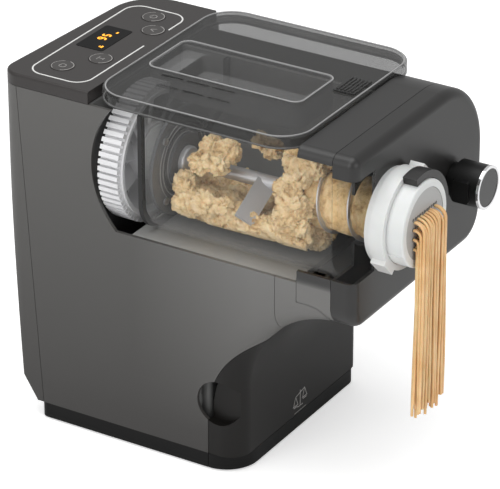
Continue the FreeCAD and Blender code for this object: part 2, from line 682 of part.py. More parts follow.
def drawer_rails():
    """Two runners on the side frames that guide the drawer tray."""
    rails = []
    for x0, x1 in ((LEFT_X + WALL + 2, LEFT_X + 10 - RUN), (PLINTH_RIGHT - 8 + RUN, RIGHT_X - WALL - 2)):
        rails.append(box(x0, x1, 2, BULKHEAD_Y - 4, 52, 60))
    return rails


def pedestal_frame():
    """Two pressed side frames that carry the cradle from the base."""
    frames = []
    for x in (LEFT_X + WALL, RIGHT_X - WALL - 2.0):
        post = box(x, x + 2.0, 0, BULKHEAD_Y, PLINTH_TOP + 0.2, SILL_Z - 6.0)
        frames.append(post.cut(box(x - 5, x + 10, 24, BULKHEAD_Y - 24, SILL_Z - 69, SILL_Z - 22)))
    return frames


def neck_cover():
    """Underside of the overhang between the pedestal and the front frame."""
    shell = pedestal_shell().cut(before_seam(SEAM))
    shell = shell.cut(d_section(-0.3, PANEL_BACK_Y - 5, FRAME_BACK_Y + SEAM))
    x0 = LEFT_X + PANEL_R_LEFT + SEAM
    x1 = RIGHT_X - DRAWER_RIGHT_R - SEAM
    between = box(x0, x1, NECK_SEAM_Y - 5, -40, 0, SILL_Z - 8)
    ahead = box(-FAR, FAR, -FAR, NECK_SEAM_Y, 0, FAR)
    return biggest(shell.common(between.fuse(ahead)))


def biggest(shape):
    return max(shape.Solids, key=lambda s: s.Volume)


def chamber_tub():
    """Clear mixing chamber, open at the top and at the front."""
    outer = tub_section(0, TUB_FRONT_Y, TUB_BACK_Y, TUB_TOP_Z)
    inner = tub_section(TUB_WALL, TUB_FRONT_Y - 1, TUB_BACK_Y - TUB_WALL, TUB_TOP_Z + 1)
    tub = outer.cut(inner).cut(well_notch())
    return tub.cut(cyl_y(AXIS_X, AXIS_Z, BUSH_R, 0, 100))


def well_notch():
    """Notch in the chamber's back wall that the lid's well drops into."""
    return box(WELL_LEFT_X - 2, WELL_RIGHT_X + 2, TUB_BACK_Y - 10, TUB_BACK_Y + 20,
               LID_TOP_Z - WELL_DEPTH - 2, TOP_Z + 20)


def back_plate():
    """Grey disc screwed to the inside of the chamber's back wall."""
    y1 = TUB_BACK_Y - TUB_WALL
    plate = cyl_y(AXIS_X, AXIS_Z, BACKPLATE_R, y1 - BACKPLATE_T, y1)
    plate = plate.common(tub_section(TUB_WALL + 0.4, 0, 100, TUB_TOP_Z))
    plate = plate.cut(well_notch())
    plate = plate.cut(ring_y(AXIS_X, AXIS_Z, 27.0, 26.0, y1 - BACKPLATE_T - 1, y1 - BACKPLATE_T + 1))
    return plate.cut(cyl_y(AXIS_X, AXIS_Z, BUSH_R, 0, 100))


def chamber_gasket():
    """Soft seal round the chamber's back rim."""
    ring = tub_section(0, TUB_BACK_Y, TUB_BACK_Y + GASKET_T, TUB_TOP_Z)
    return ring.cut(tub_section(5.0, 0, 100, TUB_TOP_Z + 5)).cut(well_notch())


def shaft_bush():
    y1 = TUB_BACK_Y + 1.5
    bush = ring_y(AXIS_X, AXIS_Z, BUSH_R, HUB_R + 0.05, TUB_BACK_Y - TUB_WALL - BACKPLATE_T - 3, y1)
    lip = ring_y(AXIS_X, AXIS_Z, BUSH_R + 4, BUSH_R, TUB_BACK_Y - TUB_WALL - BACKPLATE_T - 3,
                 TUB_BACK_Y - TUB_WALL - BACKPLATE_T)
    return bush.fuse(lip).removeSplitter()


def back_screws():
    y1 = TUB_BACK_Y - TUB_WALL - BACKPLATE_T
    screws = []
    for angle in (30, 135, 225, 320):
        a = math.radians(angle)
        x = AXIS_X + BACK_SCREW_PITCH_R * math.cos(a)
        z = AXIS_Z + BACK_SCREW_PITCH_R * math.sin(a)
        head = cyl_y(x, z, 3.0, y1 - 1.6, y1)
        screws.append(head.cut(box(x - 2, x + 2, y1 - 2, y1 - 1, z - 0.4, z + 0.4)))
    return screws


def paddle_shaft():
    """Stainless shaft with the driven hub at its back end and the flat mixing arm."""
    hub_y = TUB_BACK_Y - TUB_WALL - BACKPLATE_T - 8
    hub = cyl_y(AXIS_X, AXIS_Z, HUB_R, hub_y, TUB_BACK_Y + 1.0)
    hub = hub.makeFillet(2.0, [e for e in hub.Edges if abs(e.CenterOfMass.y - hub_y) < 0.01])
    shaft = cyl_y(AXIS_X, AXIS_Z, PADDLE_R, AUGER_BACK_Y, hub_y + 2)
    shaft = hub.fuse([shaft, paddle_arm()])
    hexagon = Part.makePolygon([V(AXIS_X + 4.3 * math.cos(math.radians(60 * i)), 29.0,
                                  AXIS_Z + 4.3 * math.sin(math.radians(60 * i))) for i in range(7)])
    return shaft.cut(Part.Face(hexagon).extrude(V(0, 40.0, 0))).removeSplitter()


def paddle_arm():
    """Flat bar that leaves the shaft near its front end and sweeps the chamber wall."""
    root = V(AXIS_X - 2, -32, AXIS_Z)
    arm = box(-ARM_REACH, 0, -8.0, 8.0, -1.6, 1.6)
    arm = arm.makeFillet(1.2, [e for e in arm.Edges if abs(e.CenterOfMass.x + ARM_REACH) < 0.01
                               and abs(e.CenterOfMass.z) < 0.01])
    arm.rotate(V(0, 0, 0), V(1, 0, 0), 35)
    arm.rotate(V(0, 0, 0), V(0, 1, 0), -28)
    arm.translate(root)
    return arm


def auger():
    """Screw that presses the dough through the barrel: a core with one helical flight."""
    length = AUGER_BACK_Y - AUGER_FRONT_Y
    core = cyl_y(AXIS_X, AXIS_Z, AUGER_CORE_R, AUGER_FRONT_Y, AUGER_BACK_Y)
    run = length - 14
    helix = Part.makeHelix(AUGER_PITCH, run, AUGER_R - 6)
    helix.rotate(V(0, 0, 0), V(1, 0, 0), 90)
    helix.translate(V(AXIS_X, AUGER_BACK_Y - 7, AXIS_Z))
    flight = Part.makePolygon([V(AXIS_X + AUGER_CORE_R - 1.5, AUGER_BACK_Y - 7 - FLIGHT_T / 2, AXIS_Z),
                               V(AXIS_X + AUGER_R, AUGER_BACK_Y - 7 - FLIGHT_T / 4, AXIS_Z),
                               V(AXIS_X + AUGER_R, AUGER_BACK_Y - 7 + FLIGHT_T / 4, AXIS_Z),
                               V(AXIS_X + AUGER_CORE_R - 1.5, AUGER_BACK_Y - 7 + FLIGHT_T / 2, AXIS_Z),
                               V(AXIS_X + AUGER_CORE_R - 1.5, AUGER_BACK_Y - 7 - FLIGHT_T / 2, AXIS_Z)])
    blade = Part.Wire(helix).makePipeShell([flight], True, True)
    return core.fuse(blade).removeSplitter()


def dough():
    """Crumbly dough in the chamber, one lumpy mass that clears the walls as it turns."""
    lumps = [(-11, 18, -20, 19), (13, 14, -19, 19), (-19, -6, -17, 16), (1, -4, -22, 20),
             (21, -10, -16, 16), (-13, -26, -21, 18), (11, -28, -20, 18), (-3, -50, -22, 19),
             (-21, -58, -15, 16), (15, -60, -17, 16), (-7, -76, -21, 19), (5, -94, -20, 17)]
    balls = []
    for i, (x, y, z, r) in enumerate(lumps):
        ball = Part.makeSphere(r)
        ball.rotate(V(0, 0, 0), V(1, 2, 3), 37.0 * i)
        ball.translate(V(AXIS_X + x, y, AXIS_Z + z))
        balls.append(ball)
    mass = balls[0].fuse(balls[1:])
    core = cyl_y(AXIS_X, AXIS_Z, AUGER_R + RUN, -200, AUGER_BACK_Y + 4)
    shaft = cyl_y(AXIS_X, AXIS_Z, PADDLE_R + RUN, -200, 200)
    arm = box(-110, AXIS_X, -48, -16, AXIS_Z - 26, AXIS_Z + 12)
    return biggest(mass.cut(core.fuse([shaft, arm])))


def extrusion_barrel():
    """Clear barrel round the front of the screw, held in the panel."""
    return ring_y(AXIS_X, AXIS_Z, BARREL_R + BARREL_WALL, BARREL_R, FLANGE_BACK_Y, PANEL_BACK_Y - 0.5)


def panel_mass():
    """Front cover before its clear corner is parted off: a D-shaped cap closed by a back plate."""
    outer = d_section(0, PANEL_FRONT_Y, PANEL_BACK_Y)
    rim = [e for e in outer.Edges if abs(e.BoundBox.YMax - PANEL_FRONT_Y) < 0.01]
    outer = outer.makeFillet(PANEL_EDGE_R - 0.5, rim)
    hollow = d_section(WALL, PANEL_FRONT_Y + WALL, PANEL_BACK_Y - PANEL_PLATE_T)
    mass = outer.cut(hollow)
    mass = mass.cut(cyl_y(AXIS_X, AXIS_Z, BARREL_R + BARREL_WALL + SEAM, -FAR, 0))
    return mass.cut(cyl_y(KNOB_X, KNOB_Z, KNOB_SCREW_R + 2, -FAR, 0))


def window_block(inset):
    return box(LEFT_X - 1, LEFT_X + WINDOW_REACH - inset, PANEL_FRONT_Y - 1, PANEL_BACK_Y + 1,
               WINDOW_LOW_Z + inset, WINDOW_TOP_Z - inset)


def panel_shell():
    """Front cover with an opening round the nozzle and a gap for its clear corner."""
    return biggest(panel_mass().cut(window_block(0)))


def panel_window():
    """Clear corner piece of the front cover beside the nozzle."""
    return biggest(panel_mass().common(window_block(0.2)))


def nozzle_flange():
    """White socket ring with bayonet lugs, screwed to the panel."""
    ring = ring_y(AXIS_X, AXIS_Z, FLANGE_R, NUT_R + 0.4, FLANGE_FRONT_Y, FLANGE_BACK_Y - 4)
    bore_r = BARREL_R + BARREL_WALL + RUN
    ring = ring.fuse(ring_y(AXIS_X, AXIS_Z, FLANGE_R - 2, bore_r, FLANGE_BACK_Y - 4, PANEL_FRONT_Y))
    lug = box(AXIS_X - 9, AXIS_X + 9, FLANGE_FRONT_Y, FLANGE_BACK_Y - 4, AXIS_Z - FLANGE_R - 3,
              AXIS_Z - FLANGE_R + 3)
    for angle in LUG_ANGLES:
        turned = lug.copy()
        turned.rotate(V(AXIS_X, 0, AXIS_Z), V(0, 1, 0), angle)
        ring = ring.fuse(turned)
    seat = cyl_y(AXIS_X, AXIS_Z, NUT_R + 0.4, FLANGE_FRONT_Y - 1, FLANGE_BACK_Y - 4)
    return ring.cut(seat).removeSplitter()


def nozzle_nut():
    """White union nut that clamps the shaping disc; it turns to release."""
    skirt = ring_y(AXIS_X, AXIS_Z, NUT_R, DISC_R + 0.3, NUT_FRONT_Y, FLANGE_BACK_Y - 4 - RUN)
    skirt = skirt.makeFillet(1.5, [e for e in skirt.Edges if abs(e.BoundBox.YMax - NUT_FRONT_Y) < 0.01
                                   and e.BoundBox.XLength > 2 * DISC_R + 3])
    lip = ring_y(AXIS_X, AXIS_Z, DISC_R + 1, DISC_R - 2.5, NUT_FRONT_Y, NUT_FRONT_Y + 2)
    mark = box(AXIS_X - NUT_R - 0.4, AXIS_X - NUT_R + 2, NUT_FRONT_Y + 1, NUT_FRONT_Y + 14,
               AXIS_Z - 0.8, AXIS_Z + 0.8)
    mark.rotate(V(AXIS_X, 0, AXIS_Z), V(0, 1, 0), -28)
    return skirt.fuse([lip, mark]).removeSplitter()


def nozzle_hood():
    """Dark cowl over the upper right of the nut."""
    ring = ring_y(AXIS_X, AXIS_Z, HOOD_R, NUT_R + 0.5, NUT_FRONT_Y + 2, FLANGE_FRONT_Y - 0.1)
    keep = []
    for angle in (HOOD_LOW_ANGLE, HOOD_TOP_ANGLE - 90):
        wedge = box(AXIS_X, AXIS_X + 2 * HOOD_R, NUT_FRONT_Y, FLANGE_BACK_Y, AXIS_Z, AXIS_Z + 2 * HOOD_R)
        wedge.rotate(V(AXIS_X, 0, AXIS_Z), V(0, 1, 0), -angle)
        keep.append(wedge)
    return biggest(ring.common(keep[0].fuse(keep[1])))


def shaping_disc():
    """Die plate with rows of round holes where the strands come out."""
    disc = cyl_y(AXIS_X, AXIS_Z, DISC_R, NUT_FRONT_Y + 2.2, NUT_FRONT_Y + 2.2 + DISC_T)
    face = cyl_y(AXIS_X, AXIS_Z, DISC_R - 2.8, NUT_FRONT_Y + 0.4, NUT_FRONT_Y + 3)
    disc = disc.fuse(face).removeSplitter()
    for x, y, z in strand_exits():
        disc = disc.cut(cyl_y(x, z, STRAND_R + 0.1, NUT_FRONT_Y - 2, NUT_FRONT_Y + 20))
    return disc


def strand_exits():
    exits = []
    for row in range(STRAND_ROWS):
        for column in range(STRAND_COLUMNS):
            x = AXIS_X + (column - (STRAND_COLUMNS - 1) / 2) * STRAND_PITCH_X
            exits.append((x, row, AXIS_Z - 6 + row * 8.0))
    return exits


def pasta_strands():
    """Fresh strands that leave the disc and hang in front of it."""
    strands = []
    for x, row, z in strand_exits():
        bend = 3.0 + row * 3.1
        y0 = NUT_FRONT_Y + 0.4
        lead = cyl_y(x, z, STRAND_R, y0 - 1.0, y0)
        mouth = Part.Face(Part.Wire(Part.makeCircle(STRAND_R, V(x, y0 - 1.0, z), V(0, 1, 0))))
        corner = mouth.revolve(V(x, y0 - 1.0, z - bend), V(1, 0, 0), 90)
        drop = Part.makeCylinder(STRAND_R, z - bend - STRAND_LOW_Z - 3 * (row % 2),
                                 V(x, y0 - 1.0 - bend, STRAND_LOW_Z + 3 * (row % 2)), V(0, 0, 1))
        strands.append(lead.fuse([corner, drop]).removeSplitter())
    return strands


def knob_body():
    body = cyl_y(KNOB_X, KNOB_Z, KNOB_R, NUT_FRONT_Y + 2.0, KNOB_BACK_Y)
    body = body.fuse(cyl_y(KNOB_X, KNOB_Z, KNOB_R - 4, KNOB_BACK_Y, PANEL_FRONT_Y - RUN))
    pad = box(KNOB_X - KNOB_R - 1.5, KNOB_X - KNOB_R + 6, NUT_FRONT_Y + 8, KNOB_BACK_Y - 3,
              KNOB_Z - 9, KNOB_Z + 9)
    pad = pad.makeFillet(2.0, [e for e in pad.Edges if abs(e.BoundBox.XLength) > 5])
    body = body.fuse(pad).cut(cyl_y(KNOB_X, KNOB_Z, KNOB_SCREW_R, -FAR, 0))
    return body.removeSplitter()


def knob_ring():
    return ring_y(KNOB_X, KNOB_Z, KNOB_R + 0.4, KNOB_R - 2.0, NUT_FRONT_Y, NUT_FRONT_Y + 2.0)


def knob_screw():
    return cyl_y(KNOB_X, KNOB_Z, KNOB_SCREW_R, NUT_FRONT_Y + 2.0, FRAME_BACK_Y - 4)


def lid_frame():
    """Smoked lid: a flat frame with a turned-down rim round the pouring well."""
    z0 = LID_TOP_Z - LID_RIM_H
    outer = rounded_box(LID_LEFT_X, LID_RIGHT_X, LID_FRONT_Y, LID_BACK_Y, z0, LID_TOP_Z, LID_CORNER_R)
    top = [e for e in outer.Edges if abs(e.BoundBox.ZMin - LID_TOP_Z) < 0.01]
    outer = outer.makeFillet(2.0, top)
    under = rounded_box(LID_LEFT_X + LID_RIM_W, LID_RIGHT_X - LID_RIM_W, LID_FRONT_Y + LID_RIM_W,
                        LID_BACK_Y - LID_RIM_W, z0 - 1, LID_TOP_Z - LID_PLATE_T, LID_CORNER_R - LID_RIM_W)
    opening = rounded_box(WELL_LEFT_X, WELL_RIGHT_X, WELL_FRONT_Y, WELL_BACK_Y, z0 - 5, LID_TOP_Z + 5,
                          WELL_R)
    frame = outer.cut(under).cut(opening)
    for row in range(2):
        x = WELL_LEFT_X - 9.5 - row * 17.0
        for i in range(3):
            y = WELL_BACK_Y - 40 - i * 23.0 - row * 6
            frame = frame.cut(rounded_box(x, x + 2.8, y, y + 20, z0 - 5, LID_TOP_Z + 5, 1.3))
    return frame


def well_shape(inset, top):
    """Space of the pouring well: deep over the chamber, a shallow ledge over the wheel."""
    x0 = WELL_LEFT_X + RUN + inset
    x1 = WELL_RIGHT_X - RUN - inset
    y0 = WELL_FRONT_Y + RUN + inset
    r = WELL_R - RUN - inset
    deep = rounded_box(x0, x1, y0, WELL_DEEP_Y - inset, LID_TOP_Z - WELL_DEPTH + inset, top, r)
    ledge = rounded_box(x0, x1, y0, WELL_BACK_Y - RUN - inset, LID_TOP_Z - LEDGE_DEPTH + inset, top, r)
    return deep.fuse(ledge).removeSplitter()


def lid_well():
    """Clear well that hangs from the lid, with a slotted floor for pouring in water."""
    well = well_shape(0, LID_TOP_Z).cut(well_shape(WELL_WALL, LID_TOP_Z + 1))
    low = LID_TOP_Z - WELL_DEPTH
    for i in range(4):
        y = WELL_FRONT_Y + 20 + i * 22
        well = well.cut(rounded_box(WELL_LEFT_X + 14, WELL_RIGHT_X - 14, y, y + 3.0, low - 5, low + 10, 1.4))
    return well


def lid_latch():
    """Ribbed slide at the lid's front edge."""
    plate = box(-8, 20, LID_FRONT_Y + 5, LID_FRONT_Y + 23, LID_TOP_Z, LID_TOP_Z + 1.6)
    for i in range(5):
        y = LID_FRONT_Y + 7 + i * 3.2
        plate = plate.fuse(box(-6, 18, y, y + 1.4, LID_TOP_Z + 1.6, LID_TOP_Z + 2.4))
    return plate.removeSplitter()


def export(name, shape):
    """Writes one node, with the middle of the whole outline moved onto the origin."""
    solids = shape if isinstance(shape, list) else [shape]
    flat = []
    for solid in solids:
        flat.extend(solid.Solids)
    made = flat[0].copy() if len(flat) == 1 else Part.makeCompound(flat)
    made.translate(V(-OUTLINE_MIDDLE_X, 0, 0))
    made.exportStep("parts/" + name + ".step")
    bb = made.optimalBoundingBox()
    print(f"{name:18s} solids {len(flat)} valid {made.isValid()} "
          f"x {bb.XMin:.1f} {bb.XMax:.1f} y {bb.YMin:.1f} {bb.YMax:.1f} z {bb.ZMin:.1f} {bb.ZMax:.1f}")


nodes = {
    "base_plate": base_plate(), "feet": feet(), "load_cells": load_cells(), "fasteners": fasteners(),
    "side_panel_left": side_panel_left(), "side_panel_right": side_panel_right(),
    "rear_shell": rear_shell(), "cord_gland": cord_gland(),
    "top_cover": top_cover(), "panel_outline": panel_outline(), "display_window": display_window(),
    "control_board": control_board(), "bulkhead": bulkhead(), "wheel_bearing": wheel_bearing(),
    "motor": motor(), "power_board": power_board(),
    "chamber_cradle": chamber_cradle(),
    "pedestal_frame": pedestal_frame(), "drawer_rails": drawer_rails(), "front_frame": front_frame(),
    "arm_shell": arm_shell(), "neck_cover": neck_cover(), "knob_nut": knob_nut(),
    "lid_switch": lid_switch(),
    "drive_wheel": drive_wheel(), "hub_cap": hub_cap(), "output_shaft": output_shaft(),
    "motor_rotor": motor_rotor(), "motor_pinion": motor_pinion(), "motor_fan": motor_fan(),
    "drawer_front": drawer_front(), "drawer_plinth": drawer_plinth(), "drawer_tray": drawer_tray(),
    "spare_discs": spare_discs(),
    "chamber_tub": chamber_tub(), "back_plate": back_plate(), "chamber_gasket": chamber_gasket(),
    "shaft_bush": shaft_bush(), "back_screws": back_screws(),
    "paddle_shaft": paddle_shaft(), "auger": auger(), "dough": dough(),
    "extrusion_barrel": extrusion_barrel(), "panel_shell": panel_shell(), "panel_window": panel_window(),
    "nozzle_flange": nozzle_flange(), "nozzle_nut": nozzle_nut(), "nozzle_hood": nozzle_hood(),
    "shaping_disc": shaping_disc(), "pasta_strands": pasta_strands(),
    "knob_body": knob_body(), "knob_ring": knob_ring(), "knob_screw": knob_screw(),
    "lid_frame": lid_frame(), "lid_well": lid_well(), "lid_latch": lid_latch(),
}
for key, place in KEYS.items():
    nodes[key] = key_cap(place)

for name, shape in nodes.items():
    export(name, shape)
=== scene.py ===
# %% [markdown]
# An electric pasta maker, dressed over its engineering model.
# The solid model already holds every piece at its real size and in its place. This notebook
# adds what a solid model leaves out: the finish of each surface, the dough, the fresh strands,
# the lit digits on the display and the small printed marks.

# %% Load the frame
import math
import random

import bmesh
import bpy
import numpy as np
from mathutils import Euler, Matrix, Vector, noise


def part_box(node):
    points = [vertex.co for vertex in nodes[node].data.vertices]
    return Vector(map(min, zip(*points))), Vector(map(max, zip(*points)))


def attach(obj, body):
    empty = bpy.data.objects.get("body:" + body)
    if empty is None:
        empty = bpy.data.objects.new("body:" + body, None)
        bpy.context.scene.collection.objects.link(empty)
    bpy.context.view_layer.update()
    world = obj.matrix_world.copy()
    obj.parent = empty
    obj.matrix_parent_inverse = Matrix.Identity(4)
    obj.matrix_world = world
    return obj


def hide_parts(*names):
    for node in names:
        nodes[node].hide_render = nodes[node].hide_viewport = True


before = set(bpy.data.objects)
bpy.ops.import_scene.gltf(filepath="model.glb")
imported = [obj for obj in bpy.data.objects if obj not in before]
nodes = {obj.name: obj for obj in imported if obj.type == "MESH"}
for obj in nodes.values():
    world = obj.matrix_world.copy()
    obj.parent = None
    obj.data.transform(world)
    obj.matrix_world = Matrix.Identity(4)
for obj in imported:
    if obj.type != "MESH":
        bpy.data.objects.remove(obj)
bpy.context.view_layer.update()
MM = 0.001
wheel_low, wheel_high = (Vector(corner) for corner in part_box("drive_wheel"))
AXIS = Vector(((wheel_low.x + wheel_high.x) / 2, 0.0, (wheel_low.z + wheel_high.z) / 2))
print("solid model holds", len(nodes), "pieces, drive axis at", tuple(round(c, 4) for c in AXIS))

# %% [markdown]
# The camera stands about 2.8 m away with a long lens, so the upright edges stay almost parallel.
# It looks at the left side and the front from a little above. A fitted position and direction are
# easier to keep true than an aimed camera, because nothing else can turn them.

# %% Camera
LENS = 252.0
CAMERA_AT = AXIS + Vector((-2061.7, -1269.7, 1176.6)) * MM
LOOK_AZIMUTH = 58.7
LOOK_DOWN = 27.1


def make_camera():
    data = bpy.data.cameras.new("camera")
    data.lens = LENS
    data.sensor_width = 36.0
    data.sensor_fit = "HORIZONTAL"
    data.clip_end = 30.0
    cam = bpy.data.objects.new("camera", data)
    bpy.context.scene.collection.objects.link(cam)
    cam.location = CAMERA_AT
    cam.rotation_euler = Euler((math.radians(90 - LOOK_DOWN), 0, math.radians(-LOOK_AZIMUTH)))
    bpy.context.scene.camera = cam
    return cam


camera = make_camera()
print("camera stands", round(camera.location.length, 2), "m away")

# %% [markdown]
# Moulded plastic and painted panels are never one even colour: they drift a little in tone, and
# their gloss changes where hands and cloths have been. Both effects are used by many finishes, so
# each is one node group with named inputs, placed in a material with values of its own.

# %% Node group helpers
def new_group(name, inputs, outputs):
    tree = bpy.data.node_groups.new(name, "ShaderNodeTree")
    for label, kind, value in inputs:
        socket = tree.interface.new_socket(label, in_out="INPUT", socket_type=kind)
        if value is not None:
            socket.default_value = value
    for label, kind in outputs:
        tree.interface.new_socket(label, in_out="OUTPUT", socket_type=kind)
    return tree, tree.nodes.new("NodeGroupInput"), tree.nodes.new("NodeGroupOutput")


def add(tree, kind, **values):
    node = tree.nodes.new(kind)
    for key, value in values.items():
        setattr(node, key, value)
    return node


def object_coordinates(tree):
    return add(tree, "ShaderNodeTexCoord").outputs["Object"]


# %% Groups for tone drift, moulded grain and brushed streaks
def tone_drift_group():
    """Slow changes of colour and gloss over a surface."""
    tree, gin, gout = new_group("tone_drift", [("Colour", "NodeSocketColor", None),
                                               ("Second colour", "NodeSocketColor", None),
                                               ("Scale", "NodeSocketFloat", 8.0),
                                               ("Gloss", "NodeSocketFloat", 0.4),
                                               ("Gloss change", "NodeSocketFloat", 0.06)],
                                [("Colour", "NodeSocketColor"), ("Roughness", "NodeSocketFloat")])
    cloud = add(tree, "ShaderNodeTexNoise")
    cloud.inputs["Detail"].default_value = 3.0
    tree.links.new(object_coordinates(tree), cloud.inputs["Vector"])
    tree.links.new(gin.outputs["Scale"], cloud.inputs["Scale"])
    mix = add(tree, "ShaderNodeMix", data_type="RGBA")
    tree.links.new(cloud.outputs["Fac"], mix.inputs[0])
    tree.links.new(gin.outputs["Colour"], mix.inputs[6])
    tree.links.new(gin.outputs["Second colour"], mix.inputs[7])
    swing = add(tree, "ShaderNodeMath", operation="SUBTRACT")
    swing.inputs[1].default_value = 0.5
    tree.links.new(cloud.outputs["Fac"], swing.inputs[0])
    gloss = add(tree, "ShaderNodeMath", operation="MULTIPLY_ADD")
    tree.links.new(swing.outputs[0], gloss.inputs[0])
    tree.links.new(gin.outputs["Gloss change"], gloss.inputs[1])
    tree.links.new(gin.outputs["Gloss"], gloss.inputs[2])
    tree.links.new(mix.outputs[2], gout.inputs["Colour"])
    tree.links.new(gloss.outputs[0], gout.inputs["Roughness"])
    return tree


def moulded_grain_group():
    """Fine pebbled grain of moulded plastic or powder paint, as a height."""
    tree, gin, gout = new_group("moulded_grain", [("Scale", "NodeSocketFloat", 1400.0)],
                                [("Height", "NodeSocketFloat")])
    grain = add(tree, "ShaderNodeTexNoise")
    grain.inputs["Detail"].default_value = 2.0
    tree.links.new(object_coordinates(tree), grain.inputs["Vector"])
    tree.links.new(gin.outputs["Scale"], grain.inputs["Scale"])
    tree.links.new(grain.outputs["Fac"], gout.inputs["Height"])
    return tree


def brushed_group():
    """Streaks of brushed or turned metal, stretched along one axis."""
    tree, gin, gout = new_group("brushed_streaks", [("Scale", "NodeSocketFloat", 900.0),
                                                    ("Stretch", "NodeSocketVector", (1.0, 0.03, 1.0)),
                                                    ("Gloss", "NodeSocketFloat", 0.3),
                                                    ("Gloss change", "NodeSocketFloat", 0.15)],
                                [("Height", "NodeSocketFloat"), ("Roughness", "NodeSocketFloat")])
    stretch = add(tree, "ShaderNodeVectorMath", operation="MULTIPLY")
    tree.links.new(object_coordinates(tree), stretch.inputs[0])
    tree.links.new(gin.outputs["Stretch"], stretch.inputs[1])
    streak = add(tree, "ShaderNodeTexNoise")
    streak.inputs["Detail"].default_value = 3.0
    tree.links.new(stretch.outputs[0], streak.inputs["Vector"])
    tree.links.new(gin.outputs["Scale"], streak.inputs["Scale"])
    gloss = add(tree, "ShaderNodeMath", operation="MULTIPLY_ADD")
    tree.links.new(streak.outputs["Fac"], gloss.inputs[0])
    tree.links.new(gin.outputs["Gloss change"], gloss.inputs[1])
    tree.links.new(gin.outputs["Gloss"], gloss.inputs[2])
    tree.links.new(streak.outputs["Fac"], gout.inputs["Height"])
    tree.links.new(gloss.outputs[0], gout.inputs["Roughness"])
    return tree


TONE_DRIFT = tone_drift_group()
MOULDED_GRAIN = moulded_grain_group()
BRUSHED = brushed_group()
print("groups:", TONE_DRIFT.name, MOULDED_GRAIN.name, BRUSHED.name)

# %% [markdown]
# One short function gives a bare material with its shader, and a second one adds grain as a bump.
# Constant values are set on the shader's own sockets, so that an export can read them.

# %% Material helpers
DRIFT_SCALE = 8.0
DRIFT_GLOSS_CHANGE = 0.06
GRAIN_SCALE = 1400.0
GRAIN_DEPTH = 0.04 * MM
GRAIN_STRENGTH = 0.6
STREAK_SCALE = 900.0
STREAK_STRETCH = (1.0, 0.03, 1.0)
STREAK_DEPTH = 0.03 * MM


def bare_material(name, **sockets):
    mat = bpy.data.materials.new(name)
    mat.use_nodes = True
    shader = mat.node_tree.nodes["Principled BSDF"]
    for label, value in sockets.items():
        shader.inputs[label.replace("_", " ")].default_value = value
    return mat, mat.node_tree, shader


def place_group(tree, group, **values):
    node = add(tree, "ShaderNodeGroup", node_tree=group)
    for label, value in values.items():
        node.inputs[label.replace("_", " ")].default_value = value
    return node


def add_grain(tree, shader, scale, depth):
    grain = place_group(tree, MOULDED_GRAIN, Scale=scale)
    bump = add(tree, "ShaderNodeBump")
    bump.inputs["Distance"].default_value = depth
    bump.inputs["Strength"].default_value = GRAIN_STRENGTH
    tree.links.new(grain.outputs["Height"], bump.inputs["Height"])
    tree.links.new(bump.outputs["Normal"], shader.inputs["Normal"])


def drifting_plastic(name, colour, second, gloss=0.4, grain=GRAIN_SCALE, depth=GRAIN_DEPTH, **sockets):
    mat, tree, shader = bare_material(name, **sockets)
    drift = place_group(tree, TONE_DRIFT, Colour=(*colour, 1), Second_colour=(*second, 1),
                        Scale=DRIFT_SCALE, Gloss=gloss, Gloss_change=DRIFT_GLOSS_CHANGE)
    tree.links.new(drift.outputs["Colour"], shader.inputs["Base Color"])
    tree.links.new(drift.outputs["Roughness"], shader.inputs["Roughness"])
    add_grain(tree, shader, grain, depth)
    return mat


def brushed_metal(name, colour, gloss=0.28, change=0.16, metal=1.0):
    mat, tree, shader = bare_material(name, Metallic=metal)
    shader.inputs["Base Color"].default_value = (*colour, 1)
    streaks = place_group(tree, BRUSHED, Scale=STREAK_SCALE, Stretch=STREAK_STRETCH, Gloss=gloss,
                          Gloss_change=change)
    tree.links.new(streaks.outputs["Roughness"], shader.inputs["Roughness"])
    bump = add(tree, "ShaderNodeBump")
    bump.inputs["Distance"].default_value = STREAK_DEPTH
    tree.links.new(streaks.outputs["Height"], bump.inputs["Height"])
    tree.links.new(bump.outputs["Normal"], shader.inputs["Normal"])
    return mat


# %% [markdown]
# The casing is warm graphite. Its side is a satin paint with painted light: the colour is painted
# lighter towards the top, as a lamp above would light it, with a painted highlight on the high front edge.
# Its front cover and collar are darker and a little glossier, the collar with a band of painted light low
# down, and the top is brown-grey.

# %% Casing finishes
# Heights and depth over which the painted light of the side and collar and the painted edge highlight change.
SIDE_PAINTED_LIGHT_Z = (0.03, 0.28)
COLLAR_PAINTED_LIGHT_Z = (0.186, 0.192)
EDGE_HIGHLIGHT_Y = (0.06, -0.05)


